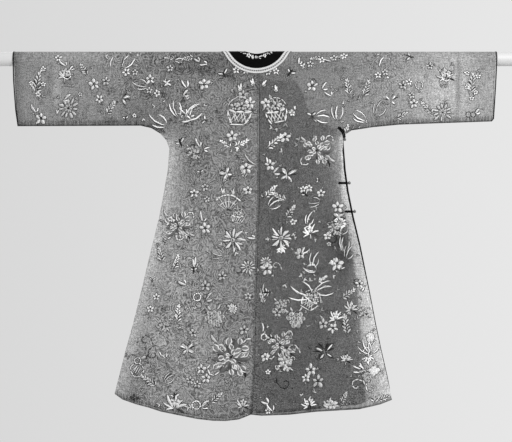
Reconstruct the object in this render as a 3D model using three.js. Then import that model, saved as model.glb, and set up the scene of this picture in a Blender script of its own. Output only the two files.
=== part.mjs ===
import * as THREE from 'three';

// A Chinese woman's summer robe of silk gauze, laid over a hanging rod, its back to the viewer.
// Millimetres. X runs along the rod, the back faces -Y, the front +Y, and +Z is up.
// The origin is on the rod's axis, halfway along it.
//
// Each piece of cloth is cut flat and then hung. Flat places are [x, run], where run is the way
// over the cloth from the rod's top line, positive down the back and negative down the front.

// Rod
const ROD_RADIUS = 26.5;
const ROD_LENGTH = 2000;
const ROD_SIDES = 48;

// Cloth
const CLOTH = 1.6;
const SEAM_GAP = 0.3;
const HALF_GAP = SEAM_GAP / 2;
const ARC_STEPS = 5;
const ARC_STEP = Math.PI / 2 / ARC_STEPS;
const DRAPE_RADIUS = (ROD_RADIUS + SEAM_GAP) / Math.cos(ARC_STEP / 2) + CLOTH / 2;
const QUARTER = DRAPE_RADIUS * Math.PI / 2;

// How far the back and the front hang from the robe's middle plane
const EDGE_DEPTH = (CLOTH + SEAM_GAP) / 2;
const HEM_DEPTH = 21;
const SWELL_REACH = 200;
const LOWEST = -1370;

// Underlap, which lies this far inside the overlap
const UNDER_STEP = 2.3;
const UNDER_RUN = 20;
const UNDER_EDGE = 6;
const SLEEVE_FADE = { from: 345, to: 480, above: -400 };

// Neck
const NECK = { x: 2, run: -36, radius: 60 };
const BAND_RADIUS = 116;
const BRAID_RADIUS = 137;
const BAND_THICKNESS = 1.2;
const BRAID_THICKNESS = 1.8;
const CLOSURE_ANGLE = -30;
const SECTOR_ANGLE = 36;
const ARC_ANGLE = 12;

// Bindings and fastenings
const CUFF_BINDING = 4;
const BINDING_THICKNESS = 2.2;
const LAY_GAP = 0.4;
const STRAP_THICKNESS = 2.4;
const STRAP_STATIONS = 4;
const BUTTON_RADIUS = 6;

const BACK = 1;
const FRONT = -1;

// Edge where back and front meet, from the cuff along the underarm seam and down the side
const LEFT_EDGE = [
  { x: -903, z: -254 },
  { x: -437, z: -252 },
  { x: -397, z: -261 },
  { x: -362, z: -282 },
  { x: -339, z: -309 },
  { x: -328, z: -338 },
  { x: -334, z: -420 },
  { x: -348, z: -500 },
  { x: -367, z: -600 },
  { x: -392, z: -700 },
  { x: -440, z: -900 },
  { x: -465, z: -1000 },
  { x: -493, z: -1100 },
  { x: -521, z: -1200 },
  { x: -535, z: -1268 },
];
const RIGHT_EDGE = [
  { x: 893, z: -236 },
  { x: 543, z: -248 },
  { x: 440, z: -258 },
  { x: 362, z: -270 },
  { x: 340, z: -284 },
  { x: 331, z: -303 },
  { x: 334, z: -345 },
  { x: 340, z: -420 },
  { x: 351, z: -500 },
  { x: 371, z: -600 },
  { x: 395, z: -700 },
  { x: 435, z: -900 },
  { x: 454, z: -1000 },
  { x: 475, z: -1100 },
  { x: 498, z: -1200 },
  { x: 515, z: -1290 },
];

// Cuffs, from the rod's height down
const LEFT_CUFF = [
  { x: -918, z: 0 },
  { x: -916, z: -82 },
  { x: -910, z: -195 },
  { x: -903, z: -254 },
];
const RIGHT_CUFF = [
  { x: 910, z: 0 },
  { x: 905, z: -120 },
  { x: 901, z: -226 },
  { x: 893, z: -236 },
];

// Seams where the sleeve extensions are sewn to the loom widths
const LEFT_JOIN = -513;
const RIGHT_JOIN = 507;

// Seam down the middle of the back, which the front seam follows
const CENTRE_SEAM = [
  { z: -63, x: 9 },
  { z: -534, x: 10 },
  { z: -715, x: 3 },
  { z: -960, x: -4 },
  { z: -1164, x: -8 },
  { z: -1307, x: -16 },
  { z: LOWEST, x: -21 },
];

// Back hem, from the left corner to the right one
const HEM = [
  { x: -535, z: -1268 },
  { x: -506, z: -1288 },
  { x: -453, z: -1305 },
  { x: -404, z: -1318 },
  { x: -359, z: -1333 },
  { x: -302, z: -1344 },
  { x: -220, z: -1360 },
  { x: -163, z: -1367 },
  { x: -114, z: -1368 },
  { x: -65, z: -1362 },
  { x: -20, z: -1344 },
  { x: 21, z: -1348 },
  { x: 124, z: -1344 },
  { x: 226, z: -1333 },
  { x: 389, z: -1324 },
  { x: 471, z: -1306 },
  { x: 515, z: -1290 },
];

// How much higher the front hem is than the back one
const FRONT_RISE = [
  { x: -535, rise: 3 },
  { x: 330, rise: 5 },
  { x: 430, rise: 20 },
  { x: 515, rise: 43 },
];

// Free side edge of the underlap
const UNDERLAP_SIDE = [
  { x: 340, z: -272 },
  { x: 312, z: -296 },
  { x: 317, z: -346 },
  { x: 324, z: -534 },
  { x: 354, z: -685 },
  { x: 378, z: -830 },
  { x: 392, z: -987 },
  { x: 407, z: -1175 },
  { x: 416, z: -1300 },
];

// Curved top edge of the overlap, from the neck braid to the armpit
const OVERLAP_TOP = [
  { x: 151, z: -82 },
  { x: 170, z: -108 },
  { x: 182, z: -140 },
  { x: 192, z: -178 },
  { x: 222, z: -214 },
  { x: 271, z: -248 },
  { x: 302, z: -263 },
  { x: 320, z: -282 },
];

// Heights of the top and the lower corner of the overlap's side
const OVERLAP_START = -303;
const OVERLAP_CORNER = -1247;
const INSET_FADE = 60;

// Front edge of the underlap's part of the sleeve, from the armpit out
const UNDERARM = [
  { x: 385, z: -266.5 },
  { x: 440, z: -258 },
];

// Corners this near to a seam or side's end are left out
const NEAR = 5;
const NEAR_HEM = 20;

// Width of the black binding down the overlap's side
const BINDING_WIDTH = [
  { z: OVERLAP_START, width: 8 },
  { z: -650, width: 7 },
  { z: -830, width: 3.5 },
  { z: -1250, width: 2.5 },
];

// Soft folds: a line down the cloth, its half width and its rise, troughs being negative
const FOLDS = [
  { face: BACK, x1: -780, z1: -30, x2: -777, z2: -205, width: 11, rise: -2.4 },
  { face: BACK, x1: -754, z1: -45, x2: -752, z2: -215, width: 14, rise: 2.2 },
  { face: BACK, x1: 765, z1: -25, x2: 762, z2: -180, width: 11, rise: -3 },
  { face: BACK, x1: 786, z1: -30, x2: 784, z2: -170, width: 14, rise: 1.8 },
  { face: BACK, x1: 648, z1: -15, x2: 650, z2: -60, width: 16, rise: -2.2 },
  { face: BACK, x1: -425, z1: -960, x2: -455, z2: -1290, width: 42, rise: 6 },
  { face: BACK, x1: -345, z1: -1080, x2: -362, z2: -1330, width: 36, rise: -3.5 },
  { face: BACK, x1: -215, z1: -820, x2: -235, z2: -1355, width: 48, rise: 4 },
  { face: BACK, x1: -120, z1: -620, x2: -100, z2: -1100, width: 44, rise: -2.5 },
  { face: BACK, x1: -290, z1: -330, x2: -240, z2: -620, width: 38, rise: -2.5 },
  { face: BACK, x1: 290, z1: -320, x2: 250, z2: -640, width: 40, rise: -3 },
  { face: BACK, x1: 120, z1: -760, x2: 140, z2: -1340, width: 50, rise: 3.5 },
  { face: BACK, x1: 300, z1: -880, x2: 345, z2: -1320, width: 46, rise: -3.5 },
  { face: BACK, x1: 425, z1: -1040, x2: 450, z2: -1300, width: 34, rise: 4 },
  { face: FRONT, x1: -300, z1: -330, x2: -250, z2: -700, width: 40, rise: -3 },
  { face: FRONT, x1: -380, z1: -820, x2: -420, z2: -1300, width: 46, rise: 5 },
  { face: FRONT, x1: -160, z1: -560, x2: -190, z2: -1330, width: 52, rise: 4 },
  { face: FRONT, x1: 110, z1: -700, x2: 90, z2: -1320, width: 48, rise: -3 },
  { face: FRONT, x1: 250, z1: -480, x2: 290, z2: -1290, width: 50, rise: 4.5 },
  { face: FRONT, x1: -640, z1: -40, x2: -650, z2: -210, width: 26, rise: -3 },
  { face: FRONT, x1: 690, z1: -40, x2: 700, z2: -200, width: 26, rise: -3 },
];
// Folds grow in over this fall, this far from an edge and this far from the middle plane
const FOLD_START = 34;
const FOLD_MARGIN = 40;
const FOLD_DEPTH = 12;

// Valley along the centre seams
const VALLEY_WIDTH = 14;
const VALLEY_DEPTH = 3.2;
const VALLEY_TOP = -60;
const VALLEY_FULL = -260;

// Lines along which the cloth is faceted
const BODY_COLUMN = 54;
const BODY_COLUMNS = 10;
const ARMPIT_COLUMNS = [-351, 351];
const LEFT_SLEEVE_COLUMNS = [-925, -866, -812, -780, -752, -715, -662, -610, -558, -510];
const RIGHT_SLEEVE_COLUMNS = [500, 552, 604, 648, 692, 736, 765, 792, 846, 915];
const HANG_ROWS = [18, 50, 92, 136, 180, 220, 252, 278, 304, 340, 390];
const ROW_STEP = 84;

// Straps: their ends on the cloth, and where it differs, bow to one side, gap and underlap
const STRAPS = [
  { name: 'neck_button_strap', face: FRONT, x1: 129, z1: -74.8, x2: 113, z2: -101, width: 7 },
  { name: 'neck_loop_strap', face: FRONT, x1: 135, z1: -65, x2: 152, z2: -37, width: 7, under: true },
  { name: 'chest_button_strap', face: FRONT, x1: 178, z1: -152.5, x2: 146, z2: -159, width: 7 },
  { name: 'chest_loop_strap', face: FRONT, x1: 189, z1: -149.5, x2: 221, z2: -143, width: 7, under: true },
  { name: 'armpit_button_strap', face: FRONT, x1: 331, z1: -308, x2: 301, z2: -318, width: 9, bow: 3, gap: 1 },
  { name: 'armpit_loop_strap', face: BACK, x1: 312, z1: -259, x2: 335, z2: -299, width: 10, bow: 5, gap: 1 },
  { name: 'upper_side_button_strap', face: FRONT, x1: 347.2, z1: -469, x2: 312, z2: -469, width: 7, gap: 1 },
  { name: 'upper_side_loop_strap', face: BACK, x1: 313, z1: -469, x2: 347.2, z2: -469, width: 7 },
  { name: 'lower_side_button_strap', face: FRONT, x1: 367, z1: -577, x2: 332, z2: -577, width: 7, gap: 1 },
  { name: 'lower_side_loop_strap', face: BACK, x1: 337, z1: -577, x2: 367, z2: -577, width: 7 },
];

// Ball buttons, lying on the front or hanging at the side edge
const BUTTONS = [
  { name: 'neck_button', x: 132, z: -70, lift: 7.15 },
  { name: 'chest_button', x: 183, z: -151, lift: 7.15 },
  { name: 'armpit_button', x: 337, z: -304, lift: 6.2 },
  { name: 'upper_side_button', x: 353, z: -469, y: 0 },
  { name: 'lower_side_button', x: 373, z: -577, y: 0 },
];

// Value of a table's column at a place between its rows
function read(table, key, place, column) {
  const rising = table[0][key] < table[table.length - 1][key];
  const rows = rising ? table : [...table].reverse();
  if (place <= rows[0][key]) {
    return rows[0][column];
  }
  for (let i = 1; i < rows.length; i += 1) {
    if (place <= rows[i][key]) {
      const share = (place - rows[i - 1][key]) / (rows[i][key] - rows[i - 1][key]);
      return rows[i - 1][column] + share * (rows[i][column] - rows[i - 1][column]);
    }
  }
  return rows[rows.length - 1][column];
}

function smooth(share) {
  const t = Math.min(1, Math.max(0, share));
  return t * t * (3 - 2 * t);
}

function segmentDistance(x, z, a, b) {
  const dx = b.x - a.x;
  const dz = b.z - a.z;
  const along = ((x - a.x) * dx + (z - a.z) * dz) / (dx * dx + dz * dz);
  const t = Math.min(1, Math.max(0, along));
  return Math.hypot(x - a.x - t * dx, z - a.z - t * dz);
}

function edgeDistance(x, z) {
  const edge = x < 0 ? LEFT_EDGE : RIGHT_EDGE;
  let nearest = Infinity;
  for (let i = 1; i < edge.length; i += 1) {
    nearest = Math.min(nearest, segmentDistance(x, z, edge[i - 1], edge[i]));
  }
  return nearest;
}

function foldRise(x, z, face) {
  let rise = 0;
  for (const fold of FOLDS) {
    if (fold.face === face) {
      const start = { x: fold.x1, z: fold.z1 };
      const end = { x: fold.x2, z: fold.z2 };
      rise += fold.rise * Math.exp(-((segmentDistance(x, z, start, end) / fold.width) ** 2));
    }
  }
  const fromSeam = (x - read(CENTRE_SEAM, 'z', z, 'x')) / VALLEY_WIDTH;
  const valley = smooth((z - VALLEY_TOP) / (VALLEY_FULL - VALLEY_TOP));
  return rise - VALLEY_DEPTH * valley * Math.exp(-(fromSeam ** 2));
}

// Distance of the hanging cloth from the middle plane
function hangDepth(x, z, face, under) {
  const edge = edgeDistance(x, z);
  const full = DRAPE_RADIUS + (HEM_DEPTH - DRAPE_RADIUS) * smooth(z / LOWEST);
  const share = Math.min(1, edge / SWELL_REACH);
  let depth = EDGE_DEPTH + (full - EDGE_DEPTH) * share * (1.5 - 0.5 * share * share);
  const fade = smooth(-z / FOLD_START) * smooth(edge / FOLD_MARGIN);
  depth += foldRise(x, z, face) * fade * Math.min(1, depth / FOLD_DEPTH);
  if (under && face === FRONT) {
    const { from, to, above } = SLEEVE_FADE;
    const sleeve = z > above ? (x - from) / (to - from) : 0;
    const step = UNDER_STEP * smooth(-z / UNDER_RUN) * (1 - smooth(sleeve));
    depth -= step * Math.min(1, edge / UNDER_EDGE);
  }
  return depth;
}

// Place on the middle of the hung cloth
function hung(x, run, under) {
  const way = Math.abs(run);
  const face = run > 0 ? BACK : FRONT;
  if (way <= QUARTER) {
    const angle = way / DRAPE_RADIUS;
    const out = DRAPE_RADIUS * Math.sin(angle);
    return new THREE.Vector3(x, -face * out, DRAPE_RADIUS * Math.cos(angle));
  }
  const z = QUARTER - way;
  return new THREE.Vector3(x, -face * hangDepth(x, z, face, under), z);
}

// The same place moved out from the cloth
function lifted(x, run, lift, under) {
  const step = 1;
  const across = hung(x + step, run, under).sub(hung(x - step, run, under));
  const down = hung(x, run + step, under).sub(hung(x, run - step, under));
  const outward = down.cross(across).normalize();
  return hung(x, run, under).addScaledVector(outward, lift);
}

// Part of a flat outline on one side of a line across it
function clip(points, axis, limit, keepAbove) {
  const inside = (p) => (keepAbove ? p[axis] >= limit : p[axis] <= limit);
  const kept = [];
  points.forEach((point, i) => {
    const next = points[(i + 1) % points.length];
    if (inside(point)) {
      kept.push(point);
    }
    if (inside(point) !== inside(next)) {
      const share = (limit - point[axis]) / (next[axis] - point[axis]);
      const cross = [point[0] + share * (next[0] - point[0]), point[1] + share * (next[1] - point[1])];
      cross[axis] = limit;
      kept.push(cross);
    }
  });
  return kept;
}

// Rows of facets over the rod and down both sides
function hangRows() {
  const rows = [0];
  for (let i = 1; i <= ARC_STEPS; i += 1) {
    rows.push(i * ARC_STEP * DRAPE_RADIUS);
  }
  for (const fall of HANG_ROWS) {
    rows.push(QUARTER + fall);
  }
  const last = HANG_ROWS[HANG_ROWS.length - 1];
  for (let fall = last + ROW_STEP; fall < ROW_STEP - LOWEST; fall += ROW_STEP) {
    rows.push(QUARTER + fall);
  }
  const front = rows.slice(1).reverse().map((run) => -run);
  return [...front, ...rows];
}

function bodyColumns() {
  const columns = [...ARMPIT_COLUMNS];
  for (let i = -BODY_COLUMNS; i < BODY_COLUMNS; i += 1) {
    columns.push((i + 0.5) * BODY_COLUMN);
  }
  return columns.sort((a, b) => a - b);
}

const ROWS = hangRows();
const COLUMNS = bodyColumns();

// Flat triangles of a piece, given as simple outlines that meet along shared lines
function cutFlat(outlines, columns) {
  const places = [];
  const byKey = new Map();
  const triangles = [];
  const indexOf = (point) => {
    const key = `${point[0].toFixed(3)},${point[1].toFixed(3)}`;
    if (!byKey.has(key)) {
      byKey.set(key, places.length);
      places.push(point);
    }
    return byKey.get(key);
  };
  for (const outline of outlines) {
    for (let i = 1; i < columns.length; i += 1) {
      const strip = clip(clip(outline, 0, columns[i - 1], true), 0, columns[i], false);
      for (let j = 1; j < ROWS.length && strip.length > 2; j += 1) {
        const cell = clip(clip(strip, 1, ROWS[j - 1], true), 1, ROWS[j], false);
        const corners = [...new Set(cell.map(indexOf))];
        if (corners.length > 2) {
          const flat = corners.map((index) => new THREE.Vector2(places[index][0], places[index][1]));
          if (THREE.ShapeUtils.isClockWise(flat)) {
            flat.reverse();
            corners.reverse();
          }
          for (const [a, b, c] of THREE.ShapeUtils.triangulateShape(flat, [])) {
            triangles.push([corners[a], corners[b], corners[c]]);
          }
        }
      }
    }
  }
  return { places, triangles };
}

// Closed wall between two distances from the middle of the cloth
function wall(name, outlines, options) {
  const { low, high, material, columns = COLUMNS, under = false } = options;
  const { places, triangles } = cutFlat(outlines, columns);
  const positions = [];
  for (const lift of [high, low]) {
    for (const [x, run] of places) {
      positions.push(...lifted(x, run, lift, under).toArray());
    }
  }
  const inner = places.length;
  const faces = [];
  const edges = new Map();
  for (const [a, b, c] of triangles) {
    faces.push(a, c, b);
    faces.push(inner + a, inner + b, inner + c);
    for (const [p, q] of [[a, b], [b, c], [c, a]]) {
      if (!edges.delete(`${q},${p}`)) {
        edges.set(`${p},${q}`, [p, q]);
      }
    }
  }
  for (const [p, q] of edges.values()) {
    faces.push(p, q, inner + q);
    faces.push(p, inner + q, inner + p);
  }
  const geometry = new THREE.BufferGeometry();
  geometry.setAttribute('position', new THREE.Float32BufferAttribute(positions, 3));
  geometry.setIndex(faces);
  geometry.computeVertexNormals();
  const mesh = new THREE.Mesh(geometry, material);
  mesh.name = name;
  return mesh;
}

function fabric(color, roughness = 0.8) {
  return new THREE.MeshStandardMaterial({ color, roughness, metalness: 0, side: THREE.DoubleSide });
}

const GAUZE = '#8b8b8b';
const SATIN = '#161616';
const BRAID = '#d8d8d6';
const BUTTON = '#8c8c88';
const PAINT = '#e4e4e2';

function runOf(z, face) {
  return face * (QUARTER - z);
}

function hang(rows, face) {
  return rows.map(({ x, z }) => [x, runOf(z, face)]);
}

// Points of a ring round the neck, from one angle to another in degrees
function neckArc(radius, from, to) {
  const steps = Math.max(1, Math.round(Math.abs(to - from) / ARC_ANGLE));
  const points = [];
  for (let i = 0; i <= steps; i += 1) {
    const angle = THREE.MathUtils.degToRad(from + (to - from) * i / steps);
    points.push([NECK.x + radius * Math.cos(angle), NECK.run + radius * Math.sin(angle)]);
  }
  return points;
}

// Angle at which the neck's edge meets a vertical line
function neckAngle(x, face) {
  return face * THREE.MathUtils.radToDeg(Math.acos((x - NECK.x) / NECK.radius));
}

// Centre seam of one panel, from the neck to the hem
function centreLine(side, face, hem) {
  const offset = side * HALF_GAP;
  const end = hemCrossing(offset, hem);
  const rows = CENTRE_SEAM.filter((row) => row.z > end.z + NEAR);
  return [...rows.map(({ x, z }) => [x + offset, runOf(z, face)]), [end.x, runOf(end.z, face)]];
}

function hemCrossing(offset, hem) {
  let z = LOWEST;
  for (let i = 0; i < 8; i += 1) {
    z = read(hem, 'x', read(CENTRE_SEAM, 'z', z, 'x') + offset, 'z');
  }
  return { x: read(CENTRE_SEAM, 'z', z, 'x') + offset, z };
}

const FRONT_HEM = HEM.map(({ x, z }) => ({ x, z: z + read(FRONT_RISE, 'x', x, 'rise') }));

// Left loom width: back and front in one piece over the shoulder
function leftBody() {
  const join = LEFT_JOIN + HALF_GAP;
  const half = (face, hem) => {
    const centre = centreLine(-1, face, hem);
    const end = centre[centre.length - 1][0];
    const hemRows = hem.filter(({ x }) => x < end - NEAR).reverse();
    const lowest = hemRows[hemRows.length - 1].z + NEAR_HEM;
    const edgeRows = LEFT_EDGE.filter(({ x, z }) => x > join && z > lowest);
    const joinRow = { x: join, z: read(LEFT_EDGE.slice(0, 2), 'x', join, 'z') };
    return [...centre, ...hang(hemRows, face), ...hang(edgeRows.reverse(), face), ...hang([joinRow], face)];
  };
  const seam = CENTRE_SEAM[0].x - HALF_GAP;
  const neck = neckArc(NECK.radius, 360 + neckAngle(seam, FRONT), neckAngle(seam, BACK));
  return [[...half(BACK, HEM), ...half(FRONT, FRONT_HEM).reverse(), ...neck]];
}

// Right loom width: its front is the underlap
function rightBody() {
  const join = RIGHT_JOIN - HALF_GAP;
  const joinRow = { x: join, z: read(RIGHT_EDGE.slice(1, 3), 'x', join, 'z') };
  const centreBack = centreLine(1, BACK, HEM);
  const hemBack = HEM.filter(({ x }) => x > centreBack[centreBack.length - 1][0] + NEAR);
  const rows = RIGHT_EDGE.filter(({ x, z }) => x < join && z > OVERLAP_CORNER);
  const sideBack = rows.map(({ x, z }) => ({ x: x - backInset(z), z })).reverse();
  const back = [...centreBack, ...hang([...hemBack, ...sideBack, joinRow], BACK)];
  const centreFront = centreLine(1, FRONT, FRONT_HEM);
  const lastSide = UNDERLAP_SIDE[UNDERLAP_SIDE.length - 1];
  const start = centreFront[centreFront.length - 1][0] + NEAR;
  const hemFront = FRONT_HEM.filter(({ x }) => x > start && x < lastSide.x - NEAR);
  const side = [...UNDERLAP_SIDE].reverse();
  const front = [...centreFront, ...hang([...hemFront, ...side, ...UNDERARM, joinRow], FRONT)];
  const seam = CENTRE_SEAM[0].x + HALF_GAP;
  const neck = neckArc(NECK.radius, neckAngle(seam, FRONT), neckAngle(seam, BACK));
  return [[...back, ...front.reverse(), ...neck]];
}

// Width of the overlap's binding that shows past the back panel
function bindingWidth(z) {
  return read(BINDING_WIDTH, 'z', z, 'width');
}

function backInset(z) {
  return bindingWidth(z) * smooth((OVERLAP_START - z) / INSET_FADE);
}

function overlapSide() {
  const corner = { x: read(RIGHT_EDGE, 'z', OVERLAP_CORNER, 'x'), z: OVERLAP_CORNER };
  const rows = RIGHT_EDGE.filter(({ z }) => z <= OVERLAP_START && z > OVERLAP_CORNER + NEAR_HEM);
  return [...rows, corner];
}

// Outer right front, from the centre seam to the wearer's right side
function overlap() {
  const centre = centreLine(1, FRONT, FRONT_HEM);
  const start = centre[centre.length - 1][0] + NEAR;
  const side = overlapSide().map(({ x, z }) => ({ x: x - bindingWidth(z) - SEAM_GAP, z }));
  const hem = FRONT_HEM.filter(({ x }) => x > start && x < side[side.length - 1].x - NEAR);
  const top = [...OVERLAP_TOP].reverse();
  const seam = CENTRE_SEAM[0].x + HALF_GAP;
  const closure = neckArc(BRAID_RADIUS, CLOSURE_ANGLE, CLOSURE_ANGLE + 1)[0];
  const neck = neckArc(NECK.radius, CLOSURE_ANGLE, neckAngle(seam, FRONT));
  return [[...centre, ...hang([...hem, ...side.reverse(), ...top], FRONT), closure, ...neck]];
}

// Black binding along the overlap's side
function overlapBinding() {
  const outer = overlapSide();
  const inner = outer.map(({ x, z }) => ({ x: x - bindingWidth(z), z })).reverse();
  return [hang([...outer, ...inner], FRONT)];
}

// A strip between two lines that run from the back over the rod to the front
function overStrip(first, second) {
  const loop = (rows) => [...hang([...rows].reverse(), BACK), ...hang(rows, FRONT)];
  return [[...loop(first), ...loop(second).reverse()]];
}

function sleeve(edge, cuff, join, side) {
  const inset = side * (CUFF_BINDING + SEAM_GAP);
  const cuffLine = cuff.map(({ x, z }) => ({ x: x - inset, z }));
  const bottom = { x: join + side * HALF_GAP, z: read(edge.slice(0, 3), 'x', join, 'z') };
  const between = edge.slice(1, 2).filter(({ x }) => Math.abs(x) > Math.abs(join) + NEAR);
  const joinLine = [{ x: bottom.x, z: 0 }, bottom, ...between];
  return overStrip(cuffLine, joinLine);
}

function cuffBinding(cuff, side) {
  const inner = cuff.map(({ x, z }) => ({ x: x - side * CUFF_BINDING, z }));
  return overStrip(cuff, inner);
}

// A ring round the neck, open at the closure, as sectors that share their sides
function neckRing(inner, outer) {
  const sectors = [];
  const count = 360 / SECTOR_ANGLE;
  const slit = THREE.MathUtils.radToDeg(HALF_GAP / inner);
  for (let i = 0; i < count; i += 1) {
    const from = CLOSURE_ANGLE + i * SECTOR_ANGLE + (i === 0 ? slit : 0);
    const to = CLOSURE_ANGLE + (i + 1) * SECTOR_ANGLE - (i === count - 1 ? slit : 0);
    sectors.push([...neckArc(inner, from, to), ...neckArc(outer, to, from)]);
  }
  return sectors;
}

// A strap's outline, bowed to one side
function strapOutline({ face, x1, z1, x2, z2, width, bow = 0 }) {
  const length = Math.hypot(x2 - x1, z2 - z1);
  const along = { x: (x2 - x1) / length, z: (z2 - z1) / length };
  const edge = (offset) => {
    const points = [];
    for (let i = 0; i <= STRAP_STATIONS; i += 1) {
      const t = i / STRAP_STATIONS;
      const out = offset + 4 * bow * t * (1 - t);
      const x = x1 + along.x * length * t - along.z * out;
      const z = z1 + along.z * length * t + along.x * out;
      points.push({ x, z });
    }
    return points;
  };
  return [hang([...edge(width / 2), ...edge(-width / 2).reverse()], face)];
}

function button({ name, x, z, y, lift }) {
  const geometry = new THREE.SphereGeometry(BUTTON_RADIUS, 12, 8);
  const material = new THREE.MeshStandardMaterial({ color: BUTTON, roughness: 0.35, metalness: 0.9 });
  const mesh = new THREE.Mesh(geometry, material);
  const place = lift ? lifted(x, runOf(z, FRONT), lift, false) : new THREE.Vector3(x, y, z);
  mesh.position.copy(place);
  mesh.name = name;
  return mesh;
}

function rod() {
  const geometry = new THREE.CylinderGeometry(ROD_RADIUS, ROD_RADIUS, ROD_LENGTH, ROD_SIDES);
  const material = new THREE.MeshStandardMaterial({ color: PAINT, roughness: 0.45, metalness: 0 });
  const mesh = new THREE.Mesh(geometry, material);
  mesh.rotation.z = Math.PI / 2;
  mesh.name = 'rod';
  return mesh;
}

const CLOTH_WALL = { low: -CLOTH / 2, high: CLOTH / 2 };
const onCloth = (thickness, gap = LAY_GAP) => ({ low: CLOTH / 2 + gap, high: CLOTH / 2 + gap + thickness });
const BINDING_WALL = { low: -CLOTH / 2, high: BINDING_THICKNESS - CLOTH / 2 };

function robe() {
  const group = new THREE.Group();
  const gauze = () => fabric(GAUZE);
  group.add(rod());
  group.add(wall('left_body', leftBody(), { ...CLOTH_WALL, material: gauze() }));
  group.add(wall('right_body', rightBody(), { ...CLOTH_WALL, material: gauze(), under: true }));
  group.add(wall('overlap', overlap(), { ...CLOTH_WALL, material: gauze() }));
  const leftSleeve = sleeve(LEFT_EDGE, LEFT_CUFF, LEFT_JOIN, -1);
  const rightSleeve = sleeve(RIGHT_EDGE, RIGHT_CUFF, RIGHT_JOIN, 1);
  const left = { columns: LEFT_SLEEVE_COLUMNS };
  const right = { columns: RIGHT_SLEEVE_COLUMNS };
  group.add(wall('sleeve_left', leftSleeve, { ...CLOTH_WALL, ...left, material: gauze() }));
  group.add(wall('sleeve_right', rightSleeve, { ...CLOTH_WALL, ...right, material: gauze() }));
  const satin = () => fabric(SATIN, 0.5);
  const leftCuff = cuffBinding(LEFT_CUFF, -1);
  const rightCuff = cuffBinding(RIGHT_CUFF, 1);
  group.add(wall('cuff_binding_left', leftCuff, { ...BINDING_WALL, ...left, material: satin() }));
  group.add(wall('cuff_binding_right', rightCuff, { ...BINDING_WALL, ...right, material: satin() }));
  group.add(wall('overlap_binding', overlapBinding(), { ...BINDING_WALL, material: satin() }));
  const band = neckRing(NECK.radius + 1, BAND_RADIUS - HALF_GAP);
  const braid = neckRing(BAND_RADIUS + HALF_GAP, BRAID_RADIUS);
  group.add(wall('neck_band', band, { ...onCloth(BAND_THICKNESS), material: satin() }));
  group.add(wall('neck_braid', braid, { ...onCloth(BRAID_THICKNESS), material: fabric(BRAID) }));
  for (const strap of STRAPS) {
    const options = { ...onCloth(STRAP_THICKNESS, strap.gap), material: satin(), under: strap.under };
    group.add(wall(strap.name, strapOutline(strap), options));
  }
  for (const place of BUTTONS) {
    group.add(button(place));
  }
  return group;
}

const group = robe();

export default group;
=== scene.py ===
import math
from collections import namedtuple

import bmesh
import bpy
import numpy as np
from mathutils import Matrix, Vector


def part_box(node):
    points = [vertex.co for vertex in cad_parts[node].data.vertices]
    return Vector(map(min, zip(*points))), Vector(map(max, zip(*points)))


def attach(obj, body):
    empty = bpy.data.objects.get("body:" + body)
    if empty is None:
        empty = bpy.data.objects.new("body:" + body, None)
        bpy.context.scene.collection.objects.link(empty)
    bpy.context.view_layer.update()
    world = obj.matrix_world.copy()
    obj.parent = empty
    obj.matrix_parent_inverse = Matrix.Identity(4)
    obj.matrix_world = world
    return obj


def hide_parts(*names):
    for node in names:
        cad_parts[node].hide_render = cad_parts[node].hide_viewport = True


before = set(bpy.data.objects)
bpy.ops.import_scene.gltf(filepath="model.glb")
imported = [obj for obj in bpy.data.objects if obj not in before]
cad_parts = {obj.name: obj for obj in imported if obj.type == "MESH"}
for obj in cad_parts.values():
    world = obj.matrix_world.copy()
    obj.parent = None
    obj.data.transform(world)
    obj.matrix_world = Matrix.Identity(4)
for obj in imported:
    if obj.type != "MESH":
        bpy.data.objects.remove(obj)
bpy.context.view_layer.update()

bl_info = {
    "name": "Gauze robe on a rod",
    "version": (1, 0, 0),
    "blender": (4, 5, 0),
    "location": "3D Viewport > Sidebar > Robe",
    "description": "Embroidered summer robe of silk gauze, laid over a hanging rod",
    "category": "Object",
}

# Lengths in the tables are millimetres. X runs along the rod, the back faces -Y and +Z is up.
# A flat place is (x, run): run is the way over the cloth from the rod's top line, positive down
# the back and negative down the front.
MM = 0.001
BACK, FRONT = 1, -1

ROD_RADIUS = 26.5
ROD_LENGTH = 2000
SEAM_GAP = 0.3
HALF_GAP = SEAM_GAP / 2
# The middle sheet of the cloth on the rod, clear of the rod's facets and half a wall above it
DRAPE_RADIUS = (ROD_RADIUS + SEAM_GAP) / math.cos(math.radians(9)) + 0.8
QUARTER = DRAPE_RADIUS * math.pi / 2

# How far the back and the front hang from the robe's middle plane: at their edge, at the hem,
# the way in from the edge, and the height at which the hem's depth is reached
EDGE_DEPTH = 0.95
HEM_DEPTH = 21
SWELL_REACH = 200
LOWEST = -1370

# The underlap lies this far inside the overlap, and fades into the sleeve
UNDER_STEP = 2.3
UNDER_RUN = 20
UNDER_EDGE = 6
SLEEVE_FADE = (345, 480)
SLEEVE_FADE_ABOVE = -400

# The neck's circle on the flat cloth, its trims' outer radii, where they close, in degrees, the
# ring of their flowers, and the width of the cuffs' binding
NECK_X, NECK_RUN, NECK_RADIUS = 2, -36, 60
BAND_RADIUS = 116
BRAID_RADIUS = 137
CLOSURE_ANGLE = -30
NECK_FLOWERS = 75
CUFF_BINDING = 4

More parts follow.
